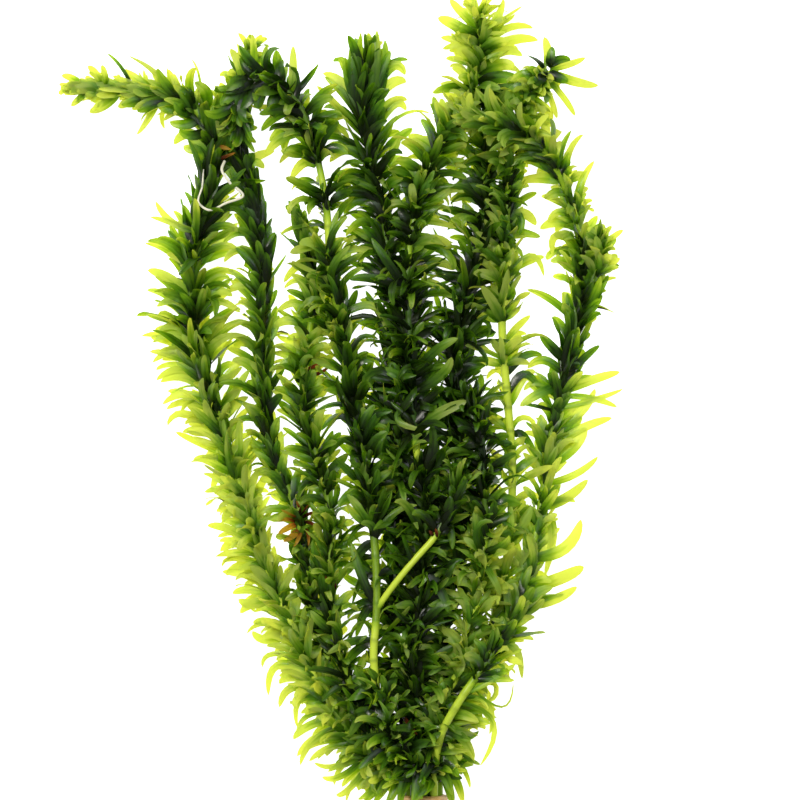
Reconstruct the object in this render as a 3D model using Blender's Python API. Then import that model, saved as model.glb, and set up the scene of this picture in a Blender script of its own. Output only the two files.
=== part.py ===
# A bunch of cut shoots of Brazilian waterweed, lying flat and tied near its cut ends with a rubber band.
#
# Each shoot is one solid: a slim four-sided stem that follows its own route, with whorls of keeled leaves
# grown out of the stem's facets. The routes lie in layers, so that the pile rests on itself, and a leaf
# that would meet another shoot is turned, shortened or left off. The cut ends point to -Y, the tips to
# +Y, and the surface that the bunch lies on is the plane Z = 0.

import math
import random

import bpy
from mathutils import Vector
from mathutils.bvhtree import BVHTree

# Driving dimensions, in metres
MM = 0.001
PIXEL = 0.30 * MM                # the real length of one pixel of the photograph
ORIGIN_PIXEL = (342.96, 430.52)  # the pixel that lies over the model's origin
GAP = 0.3 * MM                   # the least room between two pieces
STEM_RADIUS = 1.25 * MM
TIP_RADIUS = 0.85 * MM
BRANCH_RADIUS = 1.0 * MM
STEM_SIDES = 4
LEAF_LENGTH = 12.0 * MM
LEAF_WIDTH = 3.4 * MM
LEAF_KEEL = 0.55 * MM            # how far the midrib stands out of the blade
LEAF_BASE = 0.9 * MM             # the height of the facet that a leaf grows from
LEAF_FLATNESS = 0.6              # how far a blade is turned from square to the stem towards lying level
WHORL_STEP = 12.8 * MM           # every third whorl of the real plant
BUD_STEP = 6.0 * MM              # the closer whorls of a growing tip
FLOOR_ROOM = 0.35 * MM           # the lowest that a leaf's underside goes
ROOT_RADIUS = 0.3 * MM

# The tied stems, in three rows as seen from their cut ends
STEM_PITCH = 3.0 * MM
ROW_PITCH = 2.6 * MM
LOWEST_ROW = 2.7 * MM
TIE_PIXEL = 424.0                # the middle of the tie across the photograph
STRAIGHT_ROWS = (818.0, 792.0, 786.0)    # pixel rows where the stems still run straight

# The band: flat strands side by side, round all the tied stems
STRAND_COUNT = 3
STRAND_WIDTH = 2.0 * MM
STRAND_GROOVE = 0.45 * MM        # how deep the groove between two strands is
GROOVE_HALF = 0.1 * MM           # half the groove's width at its foot
STRAND_BEVEL = 0.45 * MM         # from a strand's side to its flat crest
BAND_TOP = 795.0                 # pixel row of the band's upper rim


def spot(x, y, z):
    """The place over pixel x, y of the photograph, z millimetres above the surface."""
    return Vector(((x - ORIGIN_PIXEL[0]) * PIXEL, (ORIGIN_PIXEL[1] - y) * PIXEL, z * MM))


def tied(column, row, cut):
    """The straight run from the cut end, at pixel row cut, through the band."""
    x = TIE_PIXEL + column * STEM_PITCH / PIXEL
    z = (LOWEST_ROW + row * ROW_PITCH) / MM
    return [spot(x, y, z) for y in (cut, *STRAIGHT_ROWS)]


def slope(before, here, after):
    """The curve's direction at a point, which leans to the nearer neighbour's side."""
    back, on = (here - before).length, (after - here).length
    return ((here - before) * (on / back) + (after - here) * (back / on)) / (back + on)


def smooth_curve(points, step):
    """A smooth curve through the points, as places about one step apart."""
    ends = [points[0] * 2 - points[1], *points, points[-1] * 2 - points[-2]]
    curve = [points[0]]
    for before, start, stop, after in zip(ends, ends[1:], ends[2:], ends[3:]):
        span = (stop - start).length
        leaving, arriving = slope(before, start, stop) * span, slope(start, stop, after) * span
        count = max(1, round(span / step))
        for index in range(1, count + 1):
            t = index / count
            turn = leaving * (1 - t) - arriving * t + (stop - start) * (2 * t - 1)
            curve.append(start.lerp(stop, t) + turn * t * (1 - t) if index < count else stop)
    return curve


class Route:
    """A stem's centre line, with a side direction carried along it without twist."""

    def __init__(self, points):
        self.places = smooth_curve(points, 1.5 * MM)
        self.reach = [0.0]
        for first, second in zip(self.places, self.places[1:]):
            self.reach.append(self.reach[-1] + (second - first).length)
        self.length = self.reach[-1]
        self.knots = [self.reach[self.places.index(point)] for point in points]
        last = len(self.places) - 1
        self.directions = [
            (self.places[min(i + 1, last)] - self.places[max(i - 1, 0)]).normalized() for i in range(last + 1)
        ]
        side = self.directions[0].cross(Vector((0, 0, 1)))
        self.sides = []
        for direction in self.directions:
            side = (side - direction * side.dot(direction)).normalized()
            self.sides.append(side)

    def at(self, distance):
        """The place, direction, side and up at a distance from the cut end."""
        distance = min(max(distance, 0.0), self.length)
        index = 0
        while index < len(self.reach) - 2 and self.reach[index + 1] < distance:
            index += 1
        t = (distance - self.reach[index]) / (self.reach[index + 1] - self.reach[index])
        place = self.places[index].lerp(self.places[index + 1], t)
        direction = self.directions[index].lerp(self.directions[index + 1], t).normalized()
        side = self.sides[index].lerp(self.sides[index + 1], t).normalized()
        return place, direction, side, side.cross(direction)


def material(name, red, green, blue, roughness):
    """A plain surface of one colour."""
    made = bpy.data.materials.new(name)
    made.use_nodes = True
    shader = made.node_tree.nodes["Principled BSDF"]
    shader.inputs["Base Color"].default_value = (red, green, blue, 1.0)
    shader.inputs["Roughness"].default_value = roughness
    made.diffuse_color = (red, green, blue, 1.0)
    return made


def add_object(name, points, faces, finish):
    """A mesh object at the origin, shaded smooth except over its sharp edges."""
    mesh = bpy.data.meshes.new(name)
    mesh.from_pydata([tuple(point) for point in points], [], faces)
    mesh.shade_smooth()
    mesh.set_sharp_from_angle(angle=math.radians(40))
    mesh.materials.append(finish)
    made = bpy.data.objects.new(name, mesh)
    bpy.context.scene.collection.objects.link(made)
    return made


class Obstacle:
    """A placed surface that later leaves keep clear of."""

    def __init__(self, owner, points, faces):
        self.owner = owner
        self.tree = BVHTree.FromPolygons(points, faces)
        self.low = [min(point[axis] for point in points) for axis in range(3)]
        self.high = [max(point[axis] for point in points) for axis in range(3)]

    def meets(self, other):
        for axis in range(3):
            if self.low[axis] > other.high[axis] or self.high[axis] < other.low[axis]:
                return False
        return bool(self.tree.overlap(other.tree))


def stem_rings(route, bare_knots, bud_length, seed):
    """The stem's rings: distance along it, twist, and whether leaves grow between the ring and the next."""
    turn = random.Random(seed)
    twist = 0.4
    rings = []
    for distance in route.knots[:bare_knots]:
        rings.append((distance, twist, False))
    distance = rings[-1][0] + turn.uniform(0.15, 0.75) * WHORL_STEP
    while distance < route.length - 2.5 * MM:
        twist += turn.uniform(0.5, 0.9)
        rings.append((distance - LEAF_BASE / 2, twist, True))
        rings.append((distance + LEAF_BASE / 2, twist, False))
        step = BUD_STEP if route.length - distance < bud_length + BUD_STEP else WHORL_STEP
        distance += step * turn.uniform(0.88, 1.12)
    return rings


def ring_radius(route, radius, distance):
    """The stem thins evenly over its last third."""
    thinning = max(0.0, (distance / route.length - 0.66) / 0.34)
    return radius + (TIP_RADIUS - radius) * thinning


def ring_points(route, radius, distance, twist):
    place, direction, side, up = route.at(distance)
    size = ring_radius(route, radius, distance)
    points = []
    for corner in range(STEM_SIDES):
        angle = twist + 2 * math.pi * corner / STEM_SIDES
        points.append(place + (side * math.cos(angle) + up * math.sin(angle)) * size)
    return points


def lifted(place, start, lowest):
    """A leaf's point raised to the lowest height allowed, and pushed out so that the leaf keeps its length."""
    if place.z >= lowest:
        return place
    level = Vector((place.x - start.x, place.y - start.y, 0.0))
    reach = (place - start).length
    drop = start.z - lowest
    run = math.sqrt(max(reach * reach - drop * drop, 0.25 * reach * reach))
    raised = start + level.normalized() * run
    raised.z = lowest
    return raised


def leaf_shape(corners, along, out, length, width, spread, curl, swing):
    """A leaf from a facet's four corners: its middle, its tip, and the directions of its width and keel."""
    base = sum(corners, Vector()) / 4
    across = out.cross(along).normalized()
    aim = (out * math.cos(swing) + across * math.sin(swing)).normalized()
    first = along * math.cos(spread) + aim * math.sin(spread)
    second = along * math.cos(spread + curl) + aim * math.sin(spread + curl)
    lowest = FLOOR_ROOM + 0.25 * width
    middle = lifted(base + first * 0.45 * length, base, lowest)
    tip = lifted(middle + second * 0.55 * length, middle, FLOOR_ROOM)
    blade = (middle - base).normalized()
    wide = (across - blade * across.dot(blade)).normalized()
    level = Vector((0, 0, 1)).cross(blade)
    if level.dot(wide) < 0:
        level.negate()
    wide = wide.lerp(level, LEAF_FLATNESS).normalized()
    return base, middle, tip, wide, wide.cross(blade)


def leaf_surface(middle, tip, wide, keel, width):
    """The leaf's own points: left edge, right edge, midrib and tip."""
    left = middle - wide * (width / 2)
    right = middle + wide * (width / 2)
    for edge in (left, right):
        edge.z = max(edge.z, FLOOR_ROOM * 0.6)
    return [left, right, middle + keel * LEAF_KEEL, tip]


# A leaf's corners: the facet's low left, high left, high right and low right, then left, right, midrib, tip
LEAF_FACES = [(4, 7, 5), (1, 6, 4), (1, 2, 6), (2, 5, 6), (4, 6, 7), (6, 5, 7), (0, 1, 4), (3, 5, 2)]


def leaf_faces(corners):
    """The faces between a leaf's eight corners. The twisted underside is split so that it bulges outwards."""
    low_left, low_right, left, right = (corners[index] for index in (0, 3, 4, 5))
    bulge = (left - low_left).cross(right - low_left).dot(low_right - low_left)
    underside = [(0, 4, 5), (0, 5, 3)] if bulge < 0 else [(0, 4, 3), (3, 4, 5)]
    return underside + LEAF_FACES


def room_round_leaf(base, middle, tip, wide, keel, width, start):
    """A closed shell round the leaf, wider by the gap, from a share of the way to its middle."""
    room = GAP * 1.15
    blade = (middle - base).normalized()
    begin = base.lerp(middle, start)
    half = width * 0.35 + room
    points = [
        begin - wide * half - keel * (LEAF_BASE / 2),
        begin + wide * half - keel * (LEAF_BASE / 2),
        begin + wide * half + keel * (LEAF_BASE / 2 + room),
        begin - wide * half + keel * (LEAF_BASE / 2 + room),
        middle - wide * (width / 2 + 1.4 * room),
        middle - keel * 1.4 * room,
        middle + wide * (width / 2 + 1.4 * room),
        middle + keel * (LEAF_KEEL + 1.4 * room),
        tip + (tip - middle).normalized() * 2.2 * room,
    ]
    faces = [(0, 3, 2, 1)]
    for corner in range(4):
        after = (corner + 1) % 4
        faces += [(corner, after, 4 + after), (corner, 4 + after, 4 + corner), (4 + corner, 4 + after, 8)]
    return points, faces


# What a leaf tries in turn when there is no room: change of spread, swing sideways, share of its length
TRIES = [
    (0.0, 0.0, 1.0), (0.22, 0.0, 1.0), (-0.22, 0.0, 1.0), (0.0, 0.45, 1.0), (0.0, -0.45, 1.0),
    (0.3, 0.4, 0.85), (0.3, -0.4, 0.85), (-0.35, 0.3, 0.85), (-0.35, -0.3, 0.85), (0.0, 0.0, 0.7),
    (0.5, 0.6, 0.75), (0.5, -0.6, 0.75), (-0.5, 0.0, 0.6), (0.1, 0.3, 0.5), (0.1, -0.3, 0.5),
]


class Shoot:
    """One stem and the leaves that grow from it."""

    def __init__(self, name, points, seed, radius=STEM_RADIUS, bare_knots=4, leaf=1.0, spread=60.0, bud=20.0):
        self.name = name
        self.route = Route(points)
        self.radius = radius
        self.leaf = leaf
        self.spread = math.radians(spread)
        self.seed = seed
        self.bud_length = bud * MM
        self.rings = stem_rings(self.route, bare_knots, self.bud_length, seed)
        self.points = []
        for distance, twist, _ in self.rings:
            self.points += ring_points(self.route, radius, distance, twist)
        self.bands = []
        self.faces = [(0, 1, 2), (0, 2, 3)]
        for index, (_, _, leafy) in enumerate(self.rings[:-1]):
            low, high = index * STEM_SIDES, (index + 1) * STEM_SIDES
            for corner in range(STEM_SIDES):
                after = (corner + 1) % STEM_SIDES
                facet = (low + corner, high + corner, high + after, low + after)
                if leafy:
                    self.bands.append((self.rings[index][0], facet))
                else:
                    self.faces += [(facet[0], facet[1], facet[2]), (facet[0], facet[2], facet[3])]
        self.close_bud()
        skin = self.faces + [facet for _, facet in self.bands]
        self.stem = Obstacle(name, self.points, skin)

    def close_bud(self):
        """The growing tip comes to a point."""
        top = (len(self.rings) - 1) * STEM_SIDES
        place, direction, _, _ = self.route.at(self.route.length)
        self.points.append(place + direction * 1.5 * MM)
        for corner in range(STEM_SIDES):
            self.faces.append((top + corner, len(self.points) - 1, top + (corner + 1) % STEM_SIDES))

    def grow(self, obstacles):
        """Adds a leaf on each facet of each whorl where there is room for it."""
        chance = random.Random(self.seed * 77)
        for distance, facet in self.bands:
            corners = [self.points[index] for index in facet]
            place, along, _, _ = self.route.at(distance + LEAF_BASE / 2)
            out = sum(corners, Vector()) / 4 - place
            out = (out - along * out.dot(along)).normalized()
            bud = min(1.0, max(0.0, 1.6 - 1.6 * (self.route.length - distance) / self.bud_length))
            length = LEAF_LENGTH * self.leaf * chance.uniform(0.85, 1.12) * (1.0 - 0.25 * bud)
            spread = self.spread * (1.0 - 0.6 * bud) + chance.uniform(-0.12, 0.12)
            curl = chance.uniform(0.15, 0.5) * (1.0 - bud)
            swing = chance.uniform(-0.2, 0.2)
            if not self.add_leaf(facet, corners, along, out, length, spread, curl, swing, obstacles):
                self.faces += [(facet[0], facet[1], facet[2]), (facet[0], facet[2], facet[3])]

    def add_leaf(self, facet, corners, along, out, length, spread, curl, swing, obstacles):
        width = LEAF_WIDTH * (0.6 + 0.4 * self.leaf)
        for more_spread, more_swing, share in TRIES:
            shape = leaf_shape(
                corners, along, out, length * share, width, spread + more_spread, curl, swing + more_swing
            )
            base, middle, tip, wide, keel = shape
            whole = Obstacle(self.name, *room_round_leaf(base, middle, tip, wide, keel, width, 0.12))
            outer = Obstacle(self.name, *room_round_leaf(base, middle, tip, wide, keel, width, 0.5))
            if outer.meets(self.stem):
                continue
            if any((outer if other.owner == self.name else whole).meets(other) for other in obstacles):
                continue
            leaf = corners + leaf_surface(middle, tip, wide, keel, width)
            faces = leaf_faces(leaf)
            names = [*facet, *range(len(self.points), len(self.points) + 4)]
            self.points += leaf[4:]
            self.faces += [tuple(names[corner] for corner in face) for face in faces]
            obstacles.append(Obstacle(self.name, leaf, faces))
            return True
        return False

    def build(self, finish):
        return add_object(self.name, self.points, self.faces, finish)


def free(*triples):
    """Route points, each a pixel's x and y and a height in millimetres."""
    return [spot(*triple) for triple in triples]


def shoots():
    """All the shoots and side branches, from left to right."""
    return [
        Shoot("shoot_far_left", tied(-1.5, 1, 843) + free(
            (390, 768, 6.8), (352, 736, 8.0), (325, 695, 8.2), (298, 640, 6.4), (264, 560, 5.2),
            (238, 480, 4.8), (213, 400, 4.8), (194, 320, 4.8), (194, 255, 4.8), (208, 190, 5.0),
            (213, 145, 6.0), (192, 107, 6.6), (150, 93, 6.4), (105, 90, 6.2), (72, 88, 6.6)),
            seed=11, bud=36.0),
        Shoot("shoot_left", tied(-1, 0, 850) + free(
            (394, 768, 3.2), (358, 728, 3.6), (330, 677, 4.4), (310, 610, 5.0), (305, 555, 5.2),
            (295, 505, 5.2), (272, 455, 5.0), (264, 400, 4.8), (262, 330, 4.8), (261, 250, 4.8),
            (251, 190, 5.0), (238, 140, 5.2), (238, 100, 5.2), (245, 70, 5.6), (251, 50, 6.2)),
            seed=12, leaf=0.9, spread=48),
        Shoot("shoot_left_centre", tied(-1, 2, 838) + free(
            (399, 762, 9.4), (367, 722, 10.4), (346, 672, 10.0), (332, 620, 9.2), (329, 575, 8.6),
            (332, 520, 8.0), (322, 475, 7.5), (307, 425, 6.4), (303, 380, 5.6), (309, 335, 5.2),
            (315, 290, 5.2), (309, 250, 5.8), (296, 212, 7.0)), seed=13, leaf=0.85),
        Shoot("shoot_arching", tied(0, 2, 852) + free(
            (411, 758, 12.0), (383, 712, 14.5), (374, 660, 15.0), (377, 605, 14.0), (376, 560, 12.8),
            (369, 495, 10.4), (362, 440, 8.6), (350, 385, 7.6), (341, 330, 9.0), (331, 270, 11.5),
            (327, 210, 12.5), (315, 150, 12.5), (297, 104, 13.5), (266, 80, 15.0), (243, 94, 14.8),
            (240, 134, 11.0)), seed=14),
        Shoot("shoot_centre", tied(0, 0, 846) + free(
            (411, 745, 3.8), (398, 690, 4.6), (392, 630, 5.2), (396, 560, 5.2), (400, 490, 5.2),
            (396, 420, 5.2), (392, 350, 5.2), (389, 280, 5.2), (384, 220, 5.2), (371, 165, 5.2),
            (364, 115, 5.4), (367, 75, 6.0), (372, 46, 6.6)), seed=15, bud=30.0),
        Shoot("shoot_right_centre", tied(-0.5, 1, 840) + free(
            (419, 745, 8.0), (416, 690, 9.6), (416, 630, 10.4), (423, 560, 10.4), (425, 500, 10.4),
            (416, 445, 10.4), (411, 385, 10.4), (409, 320, 10.4), (408, 262, 10.4), (413, 225, 10.0),
            (427, 175, 9.2), (443, 140, 9.4), (464, 106, 10.5)), seed=16, leaf=0.95),
        Shoot("shoot_top_right", tied(1, 0, 849) + free(
            (433, 745, 3.8), (438, 690, 4.4), (446, 630, 5.0), (456, 560, 5.0), (463, 490, 5.0),
            (458, 420, 5.0), (453, 365, 5.0), (464, 310, 5.0), (479, 255, 5.0), (487, 190, 5.0),
            (482, 130, 5.0), (475, 80, 5.4), (480, 42, 6.0), (478, 14, 6.8)), seed=17),
        Shoot("shoot_short", tied(0.5, 1, 836) + free(
            (434, 742, 8.0), (450, 692, 9.8), (468, 635, 10.6), (481, 575, 10.8), (485, 510, 11.0),
            (481, 450, 11.2), (471, 400, 12.5)), seed=18, leaf=1.05),
        Shoot("shoot_right", tied(1.5, 1, 843) + free(
            (447, 748, 5.8), (464, 695, 5.8), (486, 645, 6.2), (502, 585, 6.6), (510, 530, 6.8),
            (512, 460, 6.8), (507, 395, 6.8), (502, 330, 7.6), (503, 265, 8.6), (508, 200, 9.0),
            (511, 150, 9.4), (520, 115, 11.5), (535, 88, 15.0), (545, 74, 19.5)), seed=19),
        Shoot("shoot_far_right", tied(1, 2, 848) + free(
            (435, 762, 10.8), (441, 732, 13.2), (456, 703, 14.8), (480, 668, 14.8), (503, 633, 13.0),
            (524, 592, 9.2), (534, 545, 7.0), (543, 495, 5.8), (549, 450, 5.2), (559, 398, 5.2),
            (573, 340, 5.2), (582, 285, 5.2), (581, 250, 5.2), (572, 212, 5.6), (560, 178, 7.4),
            (540, 150, 12.0), (508, 131, 17.0), (467, 118, 18.5)), seed=20, leaf=1.15),
        Shoot("branch_centre", free(
            (386, 594, 14.8), (402, 573, 15.8), (420, 552, 16.0), (434, 536, 15.8), (447, 510, 15.4),
            (458, 474, 15.2)), radius=BRANCH_RADIUS, bare_knots=3, leaf=0.85, seed=32),
        Shoot("branch_right", free(
            (593, 281, 7.2), (598, 262, 8.0), (600, 232, 9.0)),
            radius=BRANCH_RADIUS, bare_knots=1, leaf=0.75, seed=35),
    ]


def band_path(clearance):
    """The rounded outline of the tied stems, clearance away from their centres, as x and z pairs."""
    top = LOWEST_ROW + 2 * ROW_PITCH
    middle = LOWEST_ROW + ROW_PITCH
    corners = [
        (1.0, LOWEST_ROW, -90), (1.5, middle, -30), (1.0, top, 30),
        (-1.0, top, 90), (-1.5, middle, 150), (-1.0, LOWEST_ROW, 210),
    ]
    centre = spot(TIE_PIXEL, 0, 0).x
    path = []
    for column, height, start in corners:
        for step in (0, 30, 60):
            angle = math.radians(start + step)
            x = centre + column * STEM_PITCH + clearance * math.cos(angle)
            path.append((x, height + clearance * math.sin(angle)))
    return path


def rubber_band(finish):
    """One rubber band wound three times: strands side by side with a groove between each two."""
    inner = STEM_RADIUS + GAP + 0.05 * MM
    outer = LOWEST_ROW
    shoulder = outer - STRAND_GROOVE
    top = spot(0, BAND_TOP, 0).y
    profile = [(top - STRAND_COUNT * STRAND_WIDTH, inner), (top, inner)]
    for strand in range(STRAND_COUNT):
        edge = top - strand * STRAND_WIDTH
        profile.append((edge - GROOVE_HALF, shoulder))
        profile.append((edge - STRAND_BEVEL, outer))
        profile.append((edge - STRAND_WIDTH + STRAND_BEVEL, outer))
        profile.append((edge - STRAND_WIDTH + GROOVE_HALF, shoulder))
    points = []
    for y, clearance in profile:
        points += [(x, y, z) for x, z in band_path(clearance)]
    around = len(band_path(inner))
    faces = []
    for row in range(len(profile)):
        after = (row + 1) % len(profile)
        for column in range(around):
            beside = (column + 1) % around
            low, high = row * around, after * around
            faces.append((low + column, low + beside, high + beside, high + column))
    return add_object("rubber_band", points, faces, finish)


def tube(name, places, radius, sides, finish):
    """A closed round thread along the places."""
    route = Route(places)
    points, faces = [], []
    count = 18
    for index in range(count):
        place, _, side, up = route.at(route.length * index / (count - 1))
        for corner in range(sides):
            angle = 2 * math.pi * corner / sides
            points.append(place + (side * math.cos(angle) + up * math.sin(angle)) * radius)
    for index in range(count - 1):
        for corner in range(sides):
            after = (corner + 1) % sides
            low, high = index * sides, (index + 1) * sides
            faces += [(low + corner, high + corner, high + after), (low + corner, high + after, low + after)]
    faces.append(tuple(range(sides)))
    faces.append(tuple(reversed(range((count - 1) * sides, count * sides))))
    return add_object(name, points, faces, finish)


for old in list(bpy.data.objects):
    bpy.data.objects.remove(old)

leaf_green = material("leaf and stem", 0.10, 0.26, 0.02, 0.35)
rubber = material("natural rubber", 0.62, 0.42, 0.20, 0.55)
root_white = material("water root", 0.80, 0.78, 0.66, 0.5)

band = rubber_band(rubber)
root = tube("root_thread", free(
            (222, 158, 9.0), (223, 172, 11.2), (229, 181, 11.6), (243, 198, 11.4), (226, 205, 11.4),
            (210, 212, 11.2), (199, 206, 10.6), (202, 188, 9.6), (199, 170, 7.6)),
            ROOT_RADIUS, 4, root_white)

bunch = shoots()
placed = [shoot.stem for shoot in bunch]
for thing in (band, root):
    shell = [vertex.co.copy() for vertex in thing.data.vertices]
    placed.append(Obstacle(thing.name, shell, [tuple(face.vertices) for face in thing.data.polygons]))
for shoot in bunch:
    shoot.grow(placed)
    shoot.build(leaf_green)
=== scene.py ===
# Brazilian waterweed: a tied bunch of cut shoots, wet from the tank, laid on a pale studio floor and seen
# from straight above.

import math

import bpy
import numpy as np
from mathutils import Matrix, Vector


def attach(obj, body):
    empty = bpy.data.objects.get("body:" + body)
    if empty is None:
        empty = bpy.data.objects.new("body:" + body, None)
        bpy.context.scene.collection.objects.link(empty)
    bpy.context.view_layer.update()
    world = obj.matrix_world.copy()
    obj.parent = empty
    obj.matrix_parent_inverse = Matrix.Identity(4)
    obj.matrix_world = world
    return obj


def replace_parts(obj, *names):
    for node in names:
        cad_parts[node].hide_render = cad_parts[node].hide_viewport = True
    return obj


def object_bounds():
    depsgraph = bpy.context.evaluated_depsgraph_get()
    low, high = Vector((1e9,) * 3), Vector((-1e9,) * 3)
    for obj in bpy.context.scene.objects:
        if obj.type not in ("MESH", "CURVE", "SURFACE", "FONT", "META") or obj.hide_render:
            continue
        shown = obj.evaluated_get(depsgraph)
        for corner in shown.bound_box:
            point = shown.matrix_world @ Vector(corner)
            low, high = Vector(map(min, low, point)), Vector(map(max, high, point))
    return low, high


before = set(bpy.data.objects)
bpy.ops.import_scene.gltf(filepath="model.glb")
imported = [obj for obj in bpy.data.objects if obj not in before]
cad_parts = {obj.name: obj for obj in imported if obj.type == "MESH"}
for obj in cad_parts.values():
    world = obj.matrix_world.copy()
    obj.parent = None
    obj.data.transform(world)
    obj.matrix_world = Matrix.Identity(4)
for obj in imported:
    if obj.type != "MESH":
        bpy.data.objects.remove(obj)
solid_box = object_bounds()


# Stems
# Each shoot is one soft green stem, a little swollen at every whorl of leaves and full of air channels.
# It grew in one piece with its leaves. Ten stems run through the tie side by side, and two side branches
# leave them further up.

MM = 0.001
PIXEL = 0.30 * MM                 # the real length of one pixel of the photograph
ORIGIN_PIXEL = (342.96, 430.52)   # the pixel that lies over the model's origin
STEM_RADIUS = 1.2 * MM
TIP_RADIUS = 0.7 * MM
NODE_SWELLING = 0.13 * MM
WHORL_PITCH = 2.7 * MM            # between whorls on a grown stem
BUD_PITCH = 1.4 * MM              # between whorls at a growing tip
BUD_LENGTH = 22 * MM
BARE_STRETCH = 2.2                # how much further apart the whorls are on a bare stretch
FIRST_WHORL = (0.2, 0.8)          # of a pitch, above the bare cut end
PITCH_SPREAD = (0.8, 1.25)        # between neighbouring whorls, as a share of the pitch
TIP_ROOM = 0.8 * MM               # from the last whorl to the tip
BRANCH_SHARE = 0.8                # a side branch's thickness, as a share of a main stem's
THINNING_FROM = 0.66              # the share of the length where a stem begins to get thinner
THINNING_OVER = 0.34              # and the share of the length over which it does
STEM_PITCH = 3.0 * MM             # between neighbouring stems in the tie
ROW_PITCH = 2.6 * MM              # between rows of stems there, one over the other
LOWEST_ROW = 2.7 * MM             # the lowest row's height
TIE_PIXEL = 424.0                 # the middle of the tie across the photograph
STRAIGHT_ROWS = (818.0, 792.0, 786.0)   # the pixel rows that a stem crosses straight, in the tie


def spot(x, y, z):
    """The place over pixel x, y of the photograph, z millimetres above the floor."""
    return np.array(((x - ORIGIN_PIXEL[0]) * PIXEL, (ORIGIN_PIXEL[1] - y) * PIXEL, z * MM))


def free(*triples):
    """Route points, each a pixel's x and y and a height in millimetres."""
    return [spot(*triple) for triple in triples]


def tied(column, row, cut):
    """The straight run from the cut end, at pixel row cut, through the tie."""
    x = TIE_PIXEL + column * STEM_PITCH / PIXEL
    z = (LOWEST_ROW + row * ROW_PITCH) / MM
    return [spot(x, y, z) for y in (cut, *STRAIGHT_ROWS)]


def unit(vectors):
    return vectors / np.maximum(np.linalg.norm(vectors, axis=-1, keepdims=True), 1e-9)


def slope(before, here, after):
    """The curve's direction at a point, which leans to the nearer neighbour's side."""
    back, on = np.linalg.norm(here - before), np.linalg.norm(after - here)
    return ((here - before) * (on / back) + (after - here) * (back / on)) / (back + on)


class Route:
    """A smooth centre line through points, with a side direction carried along it without twist."""

    def __init__(self, points, step=0.8 * MM):
        ends = [2 * points[0] - points[1], *points, 2 * points[-1] - points[-2]]
        places = [points[0]]
        self.knots = [0]
        for before, start, stop, after in zip(ends, ends[1:], ends[2:], ends[3:]):
            span = np.linalg.norm(stop - start)
            leaving, arriving = slope(before, start, stop) * span, slope(start, stop, after) * span
            count = max(1, round(span / step))
            for index in range(1, count + 1):
                t = index / count
                turn = leaving * (1 - t) - arriving * t + (stop - start) * (2 * t - 1)
                places.append(start + (stop - start) * t + turn * t * (1 - t))
            self.knots.append(len(places) - 1)
        self.places = np.array(places)
        steps = np.linalg.norm(np.diff(self.places, axis=0), axis=1)
        self.reach = np.concatenate([[0.0], np.cumsum(steps)])
        self.length = self.reach[-1]
        self.directions = unit(np.gradient(self.places, axis=0))
        side = np.cross(self.directions[0], (0, 0, 1))
        sides = []
        for direction in self.directions:
            side = unit(side - direction * np.dot(side, direction))
            sides.append(side)
        self.sides = np.array(sides)

    def at(self, distances):
        """The places, directions, sides and ups at distances from the cut end."""
        places, directions, sides = [
            np.stack([np.interp(distances, self.reach, rows[:, axis]) for axis in range(3)], -1)
            for rows in (self.places, self.directions, self.sides)]
        directions, sides = unit(directions), unit(sides)
        return places, directions, sides, np.cross(sides, directions)


class Shoot:
    """One shoot: its route, and its habit along it.

    Each habit row is a share of the length, then the leaves' first and last angle to the stem in degrees,
    their length in millimetres, their tone from 0, old and dark, to 1, young and yellow, how tangled they
    are, and how far the leaves on its right, or with a minus on its left, are pressed to the stem. The tone
    is partly painted light and shade as well: low where the bunch lies deep and shaded, high where leaves
    stand out against the glowing floor. bare is the route point where the leaves begin, and bud the growing
    tip's length as a share of the usual one. A window is a stretch with a bare stem on top: where it starts
    and stops, as shares of the length, and the stem's tone there. A sparse stretch gives the same two shares
    and the share of its leaves that still stand.
    """

    def __init__(self, node, points, seed, habit, bare=3, per_whorl=8, branch=False, bud=1.0, windows=(),
                 sparse=()):
        self.node = node
        self.route = Route(points)
        self.seed = seed
        self.habit = np.array(habit)
        self.per_whorl = per_whorl
        self.windows = windows
        self.sparse = sparse
        self.radius = STEM_RADIUS * (BRANCH_SHARE if branch else 1.0)
        self.first = self.route.reach[self.route.knots[bare]]
        self.bud_length = BUD_LENGTH * bud
        random = np.random.default_rng(seed)
        distance = self.first + WHORL_PITCH * random.uniform(*FIRST_WHORL)
        whorls = []
        while distance < self.route.length - TIP_ROOM:
            whorls.append(distance)
            left = self.route.length - distance
            closing = min(1.0, left / self.bud_length)
            stretched = BARE_STRETCH if self.window_tone(distance) else 1.0
            pitch = (BUD_PITCH + (WHORL_PITCH - BUD_PITCH) * closing) * stretched
            distance += pitch * random.uniform(*PITCH_SPREAD)
        self.whorls = np.array(whorls)

    def window_tone(self, distance):
        """The bare stem's tone at a distance, or 0 where leaves cover it."""
        share = distance / self.route.length
        return max((tone for start, stop, tone in self.windows if start < share < stop), default=0)

    def kept(self, distance):
        """The share of the leaves that still stand at a distance."""
        share = distance / self.route.length
        return min((kept for start, stop, kept in self.sparse if start < share < stop), default=1.0)

    def stem_radius(self, distances):
        """The stem's radius at distances, which gets less towards the tip."""
        thinning = np.clip((distances / self.route.length - THINNING_FROM) / THINNING_OVER, 0, 1)
        return self.radius + (TIP_RADIUS - self.radius) * thinning

    def habit_at(self, distances):
        """The habit's columns at distances from the cut end."""
        shares = distances / self.route.length
        return [np.interp(shares, self.habit[:, 0], column) for column in self.habit[:, 1:].T]


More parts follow.
